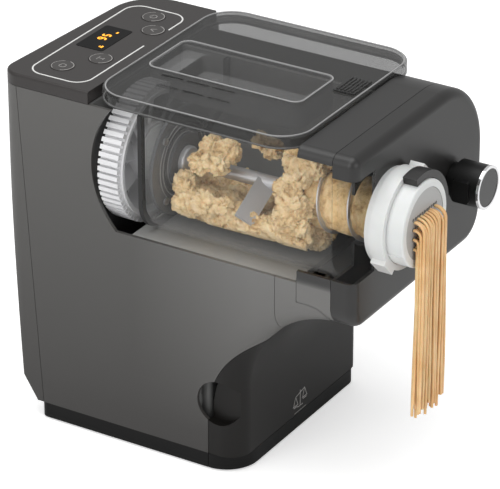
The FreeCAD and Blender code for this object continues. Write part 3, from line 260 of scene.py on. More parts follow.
def paint_with_painted_light(name, low, high, front, gloss=0.42, z_range=SIDE_PAINTED_LIGHT_Z):
    """Satin paint with painted light and shade: one colour low down, one high up, and a painted highlight for
    the high front edge.
    """
    mat, tree, shader = bare_material(name, Coat_Weight=0.12, Coat_Roughness=0.35)
    split = add(tree, "ShaderNodeSeparateXYZ")
    tree.links.new(object_coordinates(tree), split.inputs[0])
    height = add(tree, "ShaderNodeMapRange")
    height.inputs["From Min"].default_value = z_range[0]
    height.inputs["From Max"].default_value = z_range[1]
    tree.links.new(split.outputs["Z"], height.inputs["Value"])
    ahead = add(tree, "ShaderNodeMapRange")
    ahead.inputs["From Min"].default_value = EDGE_HIGHLIGHT_Y[0]
    ahead.inputs["From Max"].default_value = EDGE_HIGHLIGHT_Y[1]
    tree.links.new(split.outputs["Y"], ahead.inputs["Value"])
    upright = add(tree, "ShaderNodeMix", data_type="RGBA")
    upright.inputs[6].default_value = (*low, 1)
    upright.inputs[7].default_value = (*high, 1)
    tree.links.new(height.outputs["Result"], upright.inputs[0])
    share = add(tree, "ShaderNodeMath", operation="MULTIPLY")
    tree.links.new(ahead.outputs["Result"], share.inputs[0])
    tree.links.new(height.outputs["Result"], share.inputs[1])
    painted_edge_highlight = add(tree, "ShaderNodeMix", data_type="RGBA")
    painted_edge_highlight.inputs[7].default_value = (*front, 1)
    tree.links.new(share.outputs[0], painted_edge_highlight.inputs[0])
    tree.links.new(upright.outputs[2], painted_edge_highlight.inputs[6])
    drift = place_group(tree, TONE_DRIFT, Scale=DRIFT_SCALE, Gloss=gloss, Gloss_change=DRIFT_GLOSS_CHANGE)
    tree.links.new(painted_edge_highlight.outputs[2], drift.inputs["Colour"])
    tree.links.new(painted_edge_highlight.outputs[2], drift.inputs["Second colour"])
    tree.links.new(drift.outputs["Colour"], shader.inputs["Base Color"])
    tree.links.new(drift.outputs["Roughness"], shader.inputs["Roughness"])
    add_grain(tree, shader, GRAIN_SCALE, GRAIN_DEPTH)
    return mat


# The side is painted light: darker low down, lighter high up, and a painted highlight on its high front edge.
side_paint_painted_light = paint_with_painted_light("side_paint_painted_light", (0.030, 0.028, 0.026), (0.083, 0.081, 0.077), (0.18, 0.178, 0.172))
panel_graphite = drifting_plastic("panel_graphite", (0.017, 0.0165, 0.016), (0.013, 0.0125, 0.012),
                                  gloss=0.36, grain=1800.0, depth=0.00002)
# The collar's lower band is painted light, far paler than its dark top, for the shaded pocket under the tub.
collar_paint_painted_light = paint_with_painted_light("collar_paint_painted_light", (0.130, 0.128, 0.123), (0.016, 0.0155, 0.015),
                            (0.016, 0.0155, 0.015), gloss=0.38, z_range=COLLAR_PAINTED_LIGHT_Z)
drawer_black = drifting_plastic("drawer_black", (0.0055, 0.0048, 0.0040), (0.0045, 0.0038, 0.0032),
                                gloss=0.42, Specular_IOR_Level=0.28)
cover_brown = drifting_plastic("cover_brown", (0.026, 0.0225, 0.021), (0.022, 0.019, 0.018), gloss=0.36)
key_brown = drifting_plastic("key_brown", (0.040, 0.036, 0.034), (0.034, 0.031, 0.029), gloss=0.32)
plinth_black = drifting_plastic("plinth_black", (0.003, 0.003, 0.003), (0.004, 0.004, 0.004), gloss=0.5,
                                Specular_IOR_Level=0.2)
inner_dark = drifting_plastic("inner_dark", (0.11, 0.11, 0.108), (0.09, 0.09, 0.088), gloss=0.55)
# The cradle's pale grey is painted light, raised well above the casing's own colour for the shaded pocket
# under the tub.
cradle_grey_painted_light = drifting_plastic("cradle_grey_painted_light", (0.34, 0.34, 0.33), (0.28, 0.28, 0.272), gloss=0.5)
rubber_dark = drifting_plastic("rubber_dark", (0.012, 0.012, 0.012), (0.016, 0.016, 0.016), gloss=0.7)
white_moulding = drifting_plastic("white_moulding", (0.70, 0.70, 0.69), (0.66, 0.66, 0.65), gloss=0.32,
                                  depth=0.00001, Subsurface_Weight=0.05)
# The shaping disc is painted darker than the white moulding round it: a painted shade.
disc_moulding_painted_shade = drifting_plastic("disc_moulding_painted_shade", (0.41, 0.41, 0.40), (0.37, 0.37, 0.365), gloss=0.38)
grey_moulding = drifting_plastic("grey_moulding", (0.115, 0.118, 0.12), (0.10, 0.102, 0.105), gloss=0.38)
knob_black = drifting_plastic("knob_black", (0.003, 0.003, 0.003), (0.005, 0.005, 0.005), gloss=0.34,
                              Specular_IOR_Level=0.35)
cap_grey = drifting_plastic("cap_grey", (0.022, 0.022, 0.022), (0.028, 0.028, 0.028), gloss=0.25)
board_green = drifting_plastic("board_green", (0.03, 0.12, 0.06), (0.02, 0.09, 0.05), gloss=0.45)
motor_grey = drifting_plastic("motor_grey", (0.18, 0.18, 0.19), (0.15, 0.15, 0.16), gloss=0.4, Metallic=0.7)
wheel_satin = brushed_metal("wheel_satin", (0.72, 0.72, 0.73), gloss=0.34, change=0.12, metal=0.15)
steel_brushed = brushed_metal("steel_brushed", (0.62, 0.62, 0.63), gloss=0.24, change=0.18)
paddle_steel = brushed_metal("paddle_steel", (0.58, 0.58, 0.59), gloss=0.32, change=0.16, metal=0.70)
brass_turned = brushed_metal("brass_turned", (0.72, 0.55, 0.28), gloss=0.3)
chrome_ring = brushed_metal("chrome_ring", (0.92, 0.92, 0.93), gloss=0.08, change=0.05)
line_white = drifting_plastic("line_white", (0.75, 0.75, 0.73), (0.7, 0.7, 0.69), gloss=0.5)
print("casing finishes made")

# %% [markdown]
# The lid and the chamber are clear plastic. Real refraction through many thin walls goes murky, so
# each wall is a thin tinted film instead: mostly see-through when looked at square on, and more
# solid and shiny where it is seen edge on. The Fresnel-like weight comes from Layer Weight. Light
# passes such thin walls with little loss, so a shadow ray meets only a small share of the film.

# %% Clear finishes
SHADOW_SHARE = 0.08
FILM_SCALE = 10.0
FILM_SHADE = 0.8
FILM_GLOSS_CHANGE = 0.03


def clear_plastic(name, film, edge, facing_alpha, edge_alpha, gloss=0.06, sharp=3.0):
    mat, tree, shader = bare_material(name, IOR=1.45)
    facing = add(tree, "ShaderNodeLayerWeight")
    facing.inputs["Blend"].default_value = 0.5
    steep = add(tree, "ShaderNodeMath", operation="POWER")
    steep.inputs[1].default_value = sharp
    tree.links.new(facing.outputs["Facing"], steep.inputs[0])
    drift = place_group(tree, TONE_DRIFT, Colour=(*film, 1), Scale=FILM_SCALE, Gloss=gloss,
                        Second_colour=(*[c * FILM_SHADE for c in film], 1),
                        Gloss_change=FILM_GLOSS_CHANGE)
    pale = add(tree, "ShaderNodeMix", data_type="RGBA")
    pale.inputs[7].default_value = (*edge, 1)
    tree.links.new(steep.outputs[0], pale.inputs[0])
    tree.links.new(drift.outputs["Colour"], pale.inputs[6])
    tree.links.new(pale.outputs[2], shader.inputs["Base Color"])
    tree.links.new(drift.outputs["Roughness"], shader.inputs["Roughness"])
    spread = add(tree, "ShaderNodeMapRange")
    spread.inputs["To Min"].default_value = facing_alpha
    spread.inputs["To Max"].default_value = edge_alpha
    tree.links.new(steep.outputs[0], spread.inputs["Value"])
    path = add(tree, "ShaderNodeLightPath")
    through = add(tree, "ShaderNodeMath", operation="MULTIPLY_ADD")
    through.inputs[1].default_value = SHADOW_SHARE - 1.0
    through.inputs[2].default_value = 1.0
    tree.links.new(path.outputs["Is Shadow Ray"], through.inputs[0])
    thin = add(tree, "ShaderNodeMath", operation="MULTIPLY")
    tree.links.new(spread.outputs["Result"], thin.inputs[0])
    tree.links.new(through.outputs[0], thin.inputs[1])
    tree.links.new(thin.outputs[0], shader.inputs["Alpha"])
    return mat


lid_smoke = clear_plastic("lid_smoke", (0.030, 0.030, 0.029), (0.40, 0.40, 0.40), 0.58, 0.88, sharp=7.0)
well_clear = clear_plastic("well_clear", (0.16, 0.16, 0.16), (0.40, 0.40, 0.40), 0.50, 0.80, sharp=4.0)
tub_clear = clear_plastic("tub_clear", (0.30, 0.30, 0.295), (0.50, 0.50, 0.50), 0.06, 0.62)
window_clear = clear_plastic("window_clear", (0.16, 0.16, 0.16), (0.34, 0.34, 0.34), 0.03, 0.26, sharp=5.0)
barrel_clear = clear_plastic("barrel_clear", (0.24, 0.24, 0.235), (0.45, 0.45, 0.45), 0.02, 0.40, sharp=5.0)
display_black = drifting_plastic("display_black", (0.0012, 0.0012, 0.0014), (0.002, 0.002, 0.0022),
                                 gloss=0.30, depth=0.0, Specular_IOR_Level=0.10)
print("clear finishes made")

# %% [markdown]
# Every piece of the solid model keeps its mesh and gets one finish. One table says which.

# %% Dress the solid pieces
FINISHES = {
    side_paint_painted_light: "side_panel_left side_panel_right rear_shell neck_cover",
    cradle_grey_painted_light: "chamber_cradle",
    panel_graphite: "panel_shell arm_shell nozzle_hood",
    collar_paint_painted_light: "front_frame",
    drawer_black: "drawer_front",
    cover_brown: "top_cover",
    key_brown: "key_power key_weigh key_start key_program",
    plinth_black: "base_plate drawer_plinth",
    inner_dark: "bulkhead pedestal_frame drawer_rails drawer_tray lid_switch",
    rubber_dark: "feet cord_gland chamber_gasket motor_fan",
    white_moulding: "nozzle_flange nozzle_nut hub_cap spare_discs",
    disc_moulding_painted_shade: "shaping_disc",
    grey_moulding: "back_plate shaft_bush",
    knob_black: "knob_body",
    board_green: "control_board power_board",
    motor_grey: "motor",
    wheel_satin: "drive_wheel",
    paddle_steel: "paddle_shaft auger",
    steel_brushed: "output_shaft motor_rotor knob_screw fasteners back_screws "
                   "load_cells wheel_bearing",
    brass_turned: "motor_pinion knob_nut",
    chrome_ring: "knob_ring",
    line_white: "panel_outline",
    lid_smoke: "lid_frame lid_latch",
    well_clear: "lid_well",
    tub_clear: "chamber_tub",
    barrel_clear: "extrusion_barrel",
    window_clear: "panel_window",
    display_black: "display_window",
}


def dress(finishes):
    for mat, names in finishes.items():
        for name in names.split():
            mesh = nodes[name].data
            mesh.materials.clear()
            mesh.materials.append(mat)


dress(FINISHES)
print("dressed", sum(len(names.split()) for names in FINISHES.values()), "pieces")

# %% [markdown]
# The dough is a pile of torn, crumbly lumps round the paddle. A quick way is a ball with a bumpy
# shader, but its outline stays smooth. Here many overlapping balls are welded into one skin by a
# voxel remesh, and a Geometry Nodes tree then pushes the skin out and in by three sizes of noise:
# lumps, torn flakes and fine crumbs. Wandering cracks are cut between them. Points that leave the
# circle inside the chamber's wall are pulled back to it.

# %% Mesh helpers
PADDLE_BODY = "paddle"


def link_mesh(name, mesh):
    obj = bpy.data.objects.new(name, mesh)
    bpy.context.scene.collection.objects.link(obj)
    return obj


def mesh_from(name, build):
    bm = bmesh.new()
    build(bm)
    mesh = bpy.data.meshes.new(name)
    bm.to_mesh(mesh)
    bm.free()
    return mesh


def bake_modifiers(obj):
    """Turns an object with modifiers into one plain mesh."""
    graph = bpy.context.evaluated_depsgraph_get()
    mesh = bpy.data.meshes.new_from_object(obj.evaluated_get(graph))
    obj.modifiers.clear()
    obj.data = mesh


def smooth_shade(obj):
    for face in obj.data.polygons:
        face.use_smooth = True
    return obj


# %% Dough tree
NOISE_LAYERS = (("Lump height", 55.0, 0.5), ("Flake height", 150.0, 0.7), ("Crumb height", 620.0, 0.6))
NOISE_DETAIL = 4.0
NOISE_DISTORTION = 0.6
NOISE_MIDDLE = 0.52
CRACK_SCALE = 85.0
CRACK_WIDTH = 0.10
CRACK_WANDER_SCALE = 90.0
CRACK_WANDER = 0.022


def crumble_tree():
    """Moves a skin along its normals by three sizes of noise and by cracks."""
    tree = bpy.data.node_groups.new("crumble", "GeometryNodeTree")
    face = tree.interface
    face.new_socket("Geometry", in_out="INPUT", socket_type="NodeSocketGeometry")
    for label, value in (("Lump height", 0.004), ("Flake height", 0.0022), ("Crumb height", 0.0007),
                         ("Crack depth", 0.002)):
        face.new_socket(label, in_out="INPUT", socket_type="NodeSocketFloat").default_value = value
    face.new_socket("Finish", in_out="INPUT", socket_type="NodeSocketMaterial")
    face.new_socket("Geometry", in_out="OUTPUT", socket_type="NodeSocketGeometry")
    gin = add(tree, "NodeGroupInput")
    gout = add(tree, "NodeGroupOutput")
    push = None
    position = add(tree, "GeometryNodeInputPosition")
    for label, scale, rough in NOISE_LAYERS:
        cloud = add(tree, "ShaderNodeTexNoise")
        cloud.inputs["Scale"].default_value = scale
        cloud.inputs["Detail"].default_value = NOISE_DETAIL
        cloud.inputs["Roughness"].default_value = rough
        cloud.inputs["Distortion"].default_value = NOISE_DISTORTION
        tree.links.new(position.outputs[0], cloud.inputs["Vector"])
        swing = add(tree, "ShaderNodeMath", operation="SUBTRACT")
        swing.inputs[1].default_value = NOISE_MIDDLE
        tree.links.new(cloud.outputs["Fac"], swing.inputs[0])
        height = add(tree, "ShaderNodeMath", operation="MULTIPLY")
        tree.links.new(swing.outputs[0], height.inputs[0])
        tree.links.new(gin.outputs[label], height.inputs[1])
        if push is None:
            push = height.outputs[0]
        else:
            total = add(tree, "ShaderNodeMath", operation="ADD")
            tree.links.new(push, total.inputs[0])
            tree.links.new(height.outputs[0], total.inputs[1])
            push = total.outputs[0]
    cells = add(tree, "ShaderNodeTexVoronoi", feature="DISTANCE_TO_EDGE")
    cells.inputs["Scale"].default_value = CRACK_SCALE
    bend = add(tree, "ShaderNodeTexNoise")
    bend.inputs["Scale"].default_value = CRACK_WANDER_SCALE
    bend.inputs["Detail"].default_value = 3.0
    tree.links.new(position.outputs[0], bend.inputs["Vector"])
    wander = add(tree, "ShaderNodeVectorMath", operation="SCALE")
    wander.inputs["Scale"].default_value = CRACK_WANDER
    tree.links.new(bend.outputs["Color"], wander.inputs[0])
    moved = add(tree, "ShaderNodeVectorMath", operation="ADD")
    tree.links.new(position.outputs[0], moved.inputs[0])
    tree.links.new(wander.outputs[0], moved.inputs[1])
    tree.links.new(moved.outputs[0], cells.inputs["Vector"])
    groove = add(tree, "ShaderNodeMapRange")
    groove.inputs["From Max"].default_value = CRACK_WIDTH
    groove.inputs["To Min"].default_value = -1.0
    groove.inputs["To Max"].default_value = 0.0
    tree.links.new(cells.outputs["Distance"], groove.inputs["Value"])
    carve = add(tree, "ShaderNodeMath", operation="MULTIPLY_ADD")
    tree.links.new(groove.outputs["Result"], carve.inputs[0])
    tree.links.new(gin.outputs["Crack depth"], carve.inputs[1])
    tree.links.new(push, carve.inputs[2])
    push = carve.outputs[0]
    normal = add(tree, "GeometryNodeInputNormal")
    offset = add(tree, "ShaderNodeVectorMath", operation="SCALE")
    tree.links.new(normal.outputs[0], offset.inputs[0])
    tree.links.new(push, offset.inputs["Scale"])
    move = add(tree, "GeometryNodeSetPosition")
    tree.links.new(gin.outputs["Geometry"], move.inputs["Geometry"])
    tree.links.new(offset.outputs[0], move.inputs["Offset"])
    realize = add(tree, "GeometryNodeRealizeInstances")
    finish = add(tree, "GeometryNodeSetMaterial")
    tree.links.new(move.outputs[0], realize.inputs[0])
    tree.links.new(realize.outputs[0], finish.inputs["Geometry"])
    tree.links.new(gin.outputs["Finish"], finish.inputs["Material"])
    tree.links.new(finish.outputs[0], gout.inputs[0])
    return tree


def set_input(modifier, label, value):
    for item in modifier.node_group.interface.items_tree:
        if item.name == label and item.in_out == "INPUT":
            modifier[item.identifier] = value


CRUMBLE = crumble_tree()

# %% [markdown]
# Dough is pale straw with warmer, darker patches. The pointiness of the mesh could darken the true
# creases, but only one render engine reads it, so a noise darkens the colour instead, and a second,
# finer one gives the floury skin as a bump.

# %% Dough finish
PATCH_SCALE = 120.0
FLOUR_SCALE = 900.0
FLOUR_DEPTH = 0.6 * MM


def dough_material(name, light, mid, dark):
    mat, tree, shader = bare_material(name, Roughness=0.62, Subsurface_Weight=0.12, Subsurface_Scale=0.004)
    coords = object_coordinates(tree)
    ramp = add(tree, "ShaderNodeValToRGB")
    ramp.color_ramp.elements[0].color = (*dark, 1)
    ramp.color_ramp.elements[0].position = 0.30
    ramp.color_ramp.elements[1].color = (*light, 1)
    ramp.color_ramp.elements[1].position = 0.66
    ramp.color_ramp.elements.new(0.47).color = (*mid, 1)
    cloud = add(tree, "ShaderNodeTexNoise")
    cloud.inputs["Scale"].default_value = PATCH_SCALE
    cloud.inputs["Detail"].default_value = 6.0
    cloud.inputs["Roughness"].default_value = 0.65
    tree.links.new(coords, cloud.inputs["Vector"])
    tree.links.new(cloud.outputs["Fac"], ramp.inputs["Fac"])
    tree.links.new(ramp.outputs["Color"], shader.inputs["Base Color"])
    fine = add(tree, "ShaderNodeTexNoise")
    fine.inputs["Scale"].default_value = FLOUR_SCALE
    fine.inputs["Detail"].default_value = 4.0
    tree.links.new(coords, fine.inputs["Vector"])
    bump = add(tree, "ShaderNodeBump")
    bump.inputs["Distance"].default_value = FLOUR_DEPTH
    tree.links.new(fine.outputs["Fac"], bump.inputs["Height"])
    tree.links.new(bump.outputs["Normal"], shader.inputs["Normal"])
    return mat


dough_skin = dough_material("dough_skin", (0.93, 0.745, 0.465), (0.83, 0.61, 0.325), (0.40, 0.225, 0.08))
pressed_skin = dough_material("pressed_skin", (0.88, 0.655, 0.355), (0.76, 0.52, 0.24), (0.40, 0.22, 0.075))

# %% Dough lumps
# Each lump is x, y, z from the paddle's axis and a radius, in millimetres.
DOUGH_REACH = 43.4 * MM
DOUGH_BACK_Y = 38.0 * MM
DOUGH_FRONT_Y = -93.0 * MM
DOUGH_VOXEL = 1.2 * MM
DOUGH_SEED = 11
DOUGH_HEIGHTS = {"Lump height": 0.010, "Flake height": 0.0105, "Crumb height": 0.0034,
                 "Crack depth": 0.0034}
LUMPS = [(-19, 31, -10, 11), (-9, 34, -23, 15), (11, 34, -24, 16), (-27, 22, -20, 14), (-9, 16, -28, 17),
         (13, 16, -27, 17), (29, 24, -20, 12), (-29, 4, -16, 13), (-15, -2, -27, 17), (5, -4, -30, 16),
         (25, 4, -23, 15), (-31, -12, -12, 9), (-23, -20, -25, 13), (-3, -22, -31, 15), (19, -18, -26, 16),
         (-26, -38, -26, 12), (-9, -40, -32, 14), (11, -40, -29, 16), (27, -40, -19, 12), (-28, -56, -22, 13),
         (-15, -58, -27, 15), (5, -58, -29, 16), (23, -60, -21, 14), (-23, -74, -25, 14), (-3, -76, -29, 16),
         (17, -76, -24, 15), (-27, 12, 17, 10), (-13, 10, 25, 11), (-20, 0, 15, 9), (-8, -2, 22, 10),
         (9, -31, 25, 10), (2, -27, 31, 8), (-24, -60, 10, 10), (-9, -62, 29, 11), (-21, -70, 20, 12),
         (-9, -76, 26, 12), (7, -68, 28, 12), (-27, -74, 4, 11), (-30, -66, -8, 10), (-32, -78, -10, 10),
         (5, -80, 30, 11), (-20, -80, -2, 11)]


def add_balls(bm, lumps, seed):
    rng = random.Random(seed)
    for x, y, z, r in lumps:
        scale = Matrix.Diagonal((rng.uniform(0.85, 1.1), rng.uniform(0.85, 1.1), rng.uniform(0.85, 1.1), 1))
        turn = Euler((rng.uniform(0, 3), rng.uniform(0, 3), rng.uniform(0, 3))).to_matrix().to_4x4()
        place = Matrix.Translation(AXIS + Vector((x, y, z)) * MM) @ turn @ scale
        bmesh.ops.create_icosphere(bm, subdivisions=3, radius=r * MM, matrix=place)


def keep_inside(obj, high_r, y_low, y_high):
    """Pulls every point into a cylinder round the paddle's axis."""
    count = len(obj.data.vertices)
    co = np.empty(count * 3)
    obj.data.vertices.foreach_get("co", co)
    co = co.reshape(-1, 3)
    dx = co[:, 0] - AXIS.x
    dz = co[:, 2] - AXIS.z
    r = np.hypot(dx, dz)
    factor = np.minimum(r, high_r) / np.maximum(r, 1e-6)
    co[:, 0] = AXIS.x + dx * factor
    co[:, 2] = AXIS.z + dz * factor
    co[:, 1] = np.clip(co[:, 1], y_low, y_high)
    obj.data.vertices.foreach_set("co", co.ravel())
    obj.data.update()


def make_dough():
    obj = link_mesh("dough_lumps", mesh_from("dough_lumps", lambda bm: add_balls(bm, LUMPS, DOUGH_SEED)))
    weld = obj.modifiers.new("weld", "REMESH")
    weld.mode = "VOXEL"
    weld.voxel_size = DOUGH_VOXEL
    crumble = obj.modifiers.new("crumble", "NODES")
    crumble.node_group = CRUMBLE
    for label, height in DOUGH_HEIGHTS.items():
        set_input(crumble, label, height)
    set_input(crumble, "Finish", dough_skin)
    bake_modifiers(obj)
    keep_inside(obj, DOUGH_REACH, DOUGH_FRONT_Y, DOUGH_BACK_Y)
    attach(obj, PADDLE_BODY)
    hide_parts("dough")
    return obj


dough = smooth_shade(make_dough())
print("dough has", len(dough.data.polygons), "faces")

# %% [markdown]
# Between the turns of the screw the dough is pressed into a smooth, folded rope. It is a turned
# sleeve whose radius follows a formula: full between the flights, pinched at each flight, with
# long shallow folds that wind the same way as the screw.

# %% Pressed dough round the screw
SCREW_PITCH = 26.5
ROPE_PINCHED_R = 20.6
ROPE_SWELL = 3.6
ROPE_MOST_R = 24.6
ROPE_Y = (-141.0, -76.0)
ROPE_RINGS = 130
ROPE_SPOKES = 140
ROPE_END_SHRINK = 0.25


def pressed_radius(y, angle):
    phase = (y / SCREW_PITCH + angle / (2 * math.pi)) % 1.0
    swell = math.sin(math.pi * phase) ** 0.35
    fold = noise.noise(Vector((math.cos(angle) * 1.6 + phase, math.sin(angle) * 1.6, y * 0.10)))
    tear = noise.noise(Vector((math.cos(angle) * 5, math.sin(angle) * 5, y * 0.30)))
    return ROPE_PINCHED_R + ROPE_SWELL * swell + 1.5 * fold - 1.3 * abs(tear)


def make_pressed_dough():
    y0, y1 = ROPE_Y
    rings = ROPE_RINGS
    spokes = ROPE_SPOKES
    verts = []
    faces = []
    for i in range(rings + 1):
        y = y0 + (y1 - y0) * i / rings
        shrink = ROPE_END_SHRINK if i in (0, rings) else 1.0
        for k in range(spokes):
            a = 2 * math.pi * k / spokes
            r = min(pressed_radius(y, a) * shrink, ROPE_MOST_R)
            verts.append(((AXIS.x / MM + r * math.cos(a)) * MM, y * MM,
                          (AXIS.z / MM + r * math.sin(a)) * MM))
    for i in range(rings):
        for k in range(spokes):
            k2 = (k + 1) % spokes
            faces.append((i * spokes + k, (i + 1) * spokes + k, (i + 1) * spokes + k2, i * spokes + k2))
    faces.append(tuple(range(spokes)))
    faces.append(tuple(rings * spokes + k for k in reversed(range(spokes))))
    mesh = bpy.data.meshes.new("pressed_dough")
    mesh.from_pydata(verts, [], faces)
    mesh.materials.append(pressed_skin)
    obj = link_mesh("pressed_dough", mesh)
    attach(obj, PADDLE_BODY)
    return smooth_shade(obj)


pressed = make_pressed_dough()
print("pressed dough has", len(pressed.data.polygons), "faces")

# %% [markdown]
# Fresh strands leave the disc straight, bend over within a few millimetres and hang in a loose
# bundle. Each is a curve found by a formula with its own small random sway, and a Geometry Nodes
# tree sweeps a round section along all of them at once.

# %% Sweep tree
def sweep_tree():
    """A round section swept along every curve."""
    tree = bpy.data.node_groups.new("sweep_round", "GeometryNodeTree")
    face = tree.interface
    face.new_socket("Geometry", in_out="INPUT", socket_type="NodeSocketGeometry")
    face.new_socket("Section radius", in_out="INPUT", socket_type="NodeSocketFloat").default_value = 0.0013
    face.new_socket("Sides", in_out="INPUT", socket_type="NodeSocketInt").default_value = 8
    face.new_socket("Finish", in_out="INPUT", socket_type="NodeSocketMaterial")
    face.new_socket("Geometry", in_out="OUTPUT", socket_type="NodeSocketGeometry")
    gin = add(tree, "NodeGroupInput")
    gout = add(tree, "NodeGroupOutput")
    ring = add(tree, "GeometryNodeCurvePrimitiveCircle")
    sweep = add(tree, "GeometryNodeCurveToMesh")
    sweep.inputs["Fill Caps"].default_value = True
    realize = add(tree, "GeometryNodeRealizeInstances")
    finish = add(tree, "GeometryNodeSetMaterial")
    tree.links.new(gin.outputs["Section radius"], ring.inputs["Radius"])
    tree.links.new(gin.outputs["Sides"], ring.inputs["Resolution"])
    tree.links.new(gin.outputs["Geometry"], sweep.inputs["Curve"])
    tree.links.new(ring.outputs[0], sweep.inputs["Profile Curve"])
    tree.links.new(sweep.outputs[0], realize.inputs[0])
    tree.links.new(realize.outputs[0], finish.inputs["Geometry"])
    tree.links.new(gin.outputs["Finish"], finish.inputs["Material"])
    tree.links.new(finish.outputs[0], gout.inputs[0])
    return tree


# %% Strands
BEND_STEPS = 6
DROP_STEPS = 14
STRAIGHT_LENGTH = 0.6


def strand_points(start, bend, sway, low, lean):
    """A short straight start, a quarter turn down, and a long drop with a small sway."""
    points = [start, start + Vector((0, -STRAIGHT_LENGTH, 0))]
    for step in range(1, BEND_STEPS + 1):
        a = math.radians(90 / BEND_STEPS * step)
        points.append(start + Vector((lean * 0.15 * step / BEND_STEPS,
                                      -STRAIGHT_LENGTH - bend * math.sin(a), -bend * (1 - math.cos(a)))))
    top = points[-1]
    drop = top.z - low
    for step in range(1, DROP_STEPS + 1):
        t = step / DROP_STEPS
        wave = math.sin(t * math.pi * sway[0] + sway[1]) * sway[2] * t
        points.append(Vector((top.x + lean * t + wave, top.y + sway[3] * t, top.z - drop * t)))
    return points


def sweep_lines(name, lines, radius, sides, finish, closed=False):
    """One mesh with a round section swept along every line; lines hold points in millimetres."""
    curve = bpy.data.curves.new(name + "_lines", "CURVE")
    curve.dimensions = "3D"
    curve.resolution_u = 4
    for points in lines:
        spline = curve.splines.new("POLY" if closed else "NURBS")
        spline.points.add(len(points) - 1)
        for point, place in zip(spline.points, points):
            point.co = (*(place * MM), 1.0)
        spline.use_cyclic_u = closed
        if not closed:
            spline.order_u = 4
            spline.use_endpoint_u = True
    source = bpy.data.objects.new(name + "_source", curve)
    bpy.context.scene.collection.objects.link(source)
    sweep = source.modifiers.new("sweep", "NODES")
    sweep.node_group = SWEEP
    set_input(sweep, "Section radius", radius * MM)
    set_input(sweep, "Sides", sides)
    set_input(sweep, "Finish", finish)
    graph = bpy.context.evaluated_depsgraph_get()
    mesh = bpy.data.meshes.new_from_object(source.evaluated_get(graph))
    bpy.data.objects.remove(source)
    return smooth_shade(link_mesh(name, mesh))


SWEEP = sweep_tree()


STRAND_SEED = 5
STRAND_ROWS = 4
STRAND_COLUMNS = 12
STRAND_PITCH_X = 3.1
STRAND_PITCH_Z = 7.8
STRAND_LOWEST_ROW = -15.0
STRAND_START_Y = -169.2
STRAND_END_Z = 76.5
STRAND_R = 1.18
STRAND_SIDES = 10


def make_strands():
    rng = random.Random(STRAND_SEED)
    lines = []
    for row in range(STRAND_ROWS):
        for column in range(STRAND_COLUMNS):
            across = column - (STRAND_COLUMNS - 1) / 2
            x = AXIS.x / MM + across * STRAND_PITCH_X + rng.uniform(-0.7, 0.7)
            z = AXIS.z / MM + STRAND_LOWEST_ROW + row * STRAND_PITCH_Z + rng.uniform(-1.6, 1.6)
            bend = 2.0 + row * 2.05 + rng.uniform(-0.6, 0.6)
            sway = (rng.uniform(0.8, 2.0), rng.uniform(0, 6.3), rng.uniform(0.4, 1.6), rng.uniform(-0.6, 0.6))
            lean = across * 0.05 + rng.uniform(-2.6, 2.6)
            low = STRAND_END_Z + rng.uniform(0, 15.0)
            lines.append(strand_points(Vector((x, STRAND_START_Y, z)), bend, sway, low, lean))
    obj = sweep_lines("fresh_strands", lines, STRAND_R, STRAND_SIDES, pasta_skin)
    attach(obj, "disc")
    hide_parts("pasta_strands")
    return obj


def pasta_material():
    mat, tree, shader = bare_material("pasta_skin", Roughness=0.42, Subsurface_Weight=0.2,
                                      Subsurface_Scale=0.003)
    coords = object_coordinates(tree)
    cloud = add(tree, "ShaderNodeTexNoise")
    cloud.inputs["Scale"].default_value = 60.0
    cloud.inputs["Detail"].default_value = 3.0
    tree.links.new(coords, cloud.inputs["Vector"])
    ramp = add(tree, "ShaderNodeValToRGB")
    ramp.color_ramp.elements[0].color = (0.70, 0.42, 0.18, 1)
    ramp.color_ramp.elements[0].position = 0.3
    ramp.color_ramp.elements[1].color = (0.82, 0.56, 0.29, 1)
    ramp.color_ramp.elements[1].position = 0.7
    tree.links.new(cloud.outputs["Fac"], ramp.inputs["Fac"])
    tree.links.new(ramp.outputs["Color"], shader.inputs["Base Color"])
    add_grain(tree, shader, 2500.0, 0.0001)
    return mat


pasta_skin = pasta_material()
strands = make_strands()
print("strands have", len(strands.data.polygons), "faces")

# %% [markdown]
# Clear plastic is seen mostly by its edges: a lid's rim gathers light and shows as a bright bead.
# The beads are rounded lips swept round the rim and the well, in a pale film far lighter than the lid's own:
# a painted highlight.

# %% Painted highlight lips of the lid and rings of the rear disc
CORNER_STEPS = 14
BEAD_R = 0.65
RING_RADII = (19.5, 22.5, 29.0, 33.0)
RING_POINTS = 90
RING_R = 0.45


def rounded_loop(x0, x1, y0, y1, r, z):
    points = []
    corners = ((x1 - r, y1 - r, 0), (x0 + r, y1 - r, 90), (x0 + r, y0 + r, 180), (x1 - r, y0 + r, 270))
    for cx, cy, start in corners:
        for i in range(CORNER_STEPS + 1):
            a = math.radians(start + 90 * i / CORNER_STEPS)
            points.append(Vector((cx + r * math.cos(a), cy + r * math.sin(a), z)))
    return points


# The pale lips along the lid's rim and well are painted highlights.
def lid_highlight_beads():
    low, high = (Vector(corner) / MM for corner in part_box("lid_frame"))
    inner_low, inner_high = (Vector(corner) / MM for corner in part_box("lid_well"))
    lines = [rounded_loop(low.x + 0.9, high.x - 0.9, low.y + 0.9, high.y - 0.9, 27.0, low.z + 0.7),
             rounded_loop(low.x + 2.2, high.x - 2.2, low.y + 2.2, high.y - 2.2, 26.0, high.z - 0.1),
             rounded_loop(inner_low.x, inner_high.x, inner_low.y, inner_high.y, 8.0, high.z + 0.2)]
    obj = sweep_lines("lid_highlight_beads", lines, BEAD_R, 10, bead_painted_highlight, closed=True)
    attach(obj, "lid")


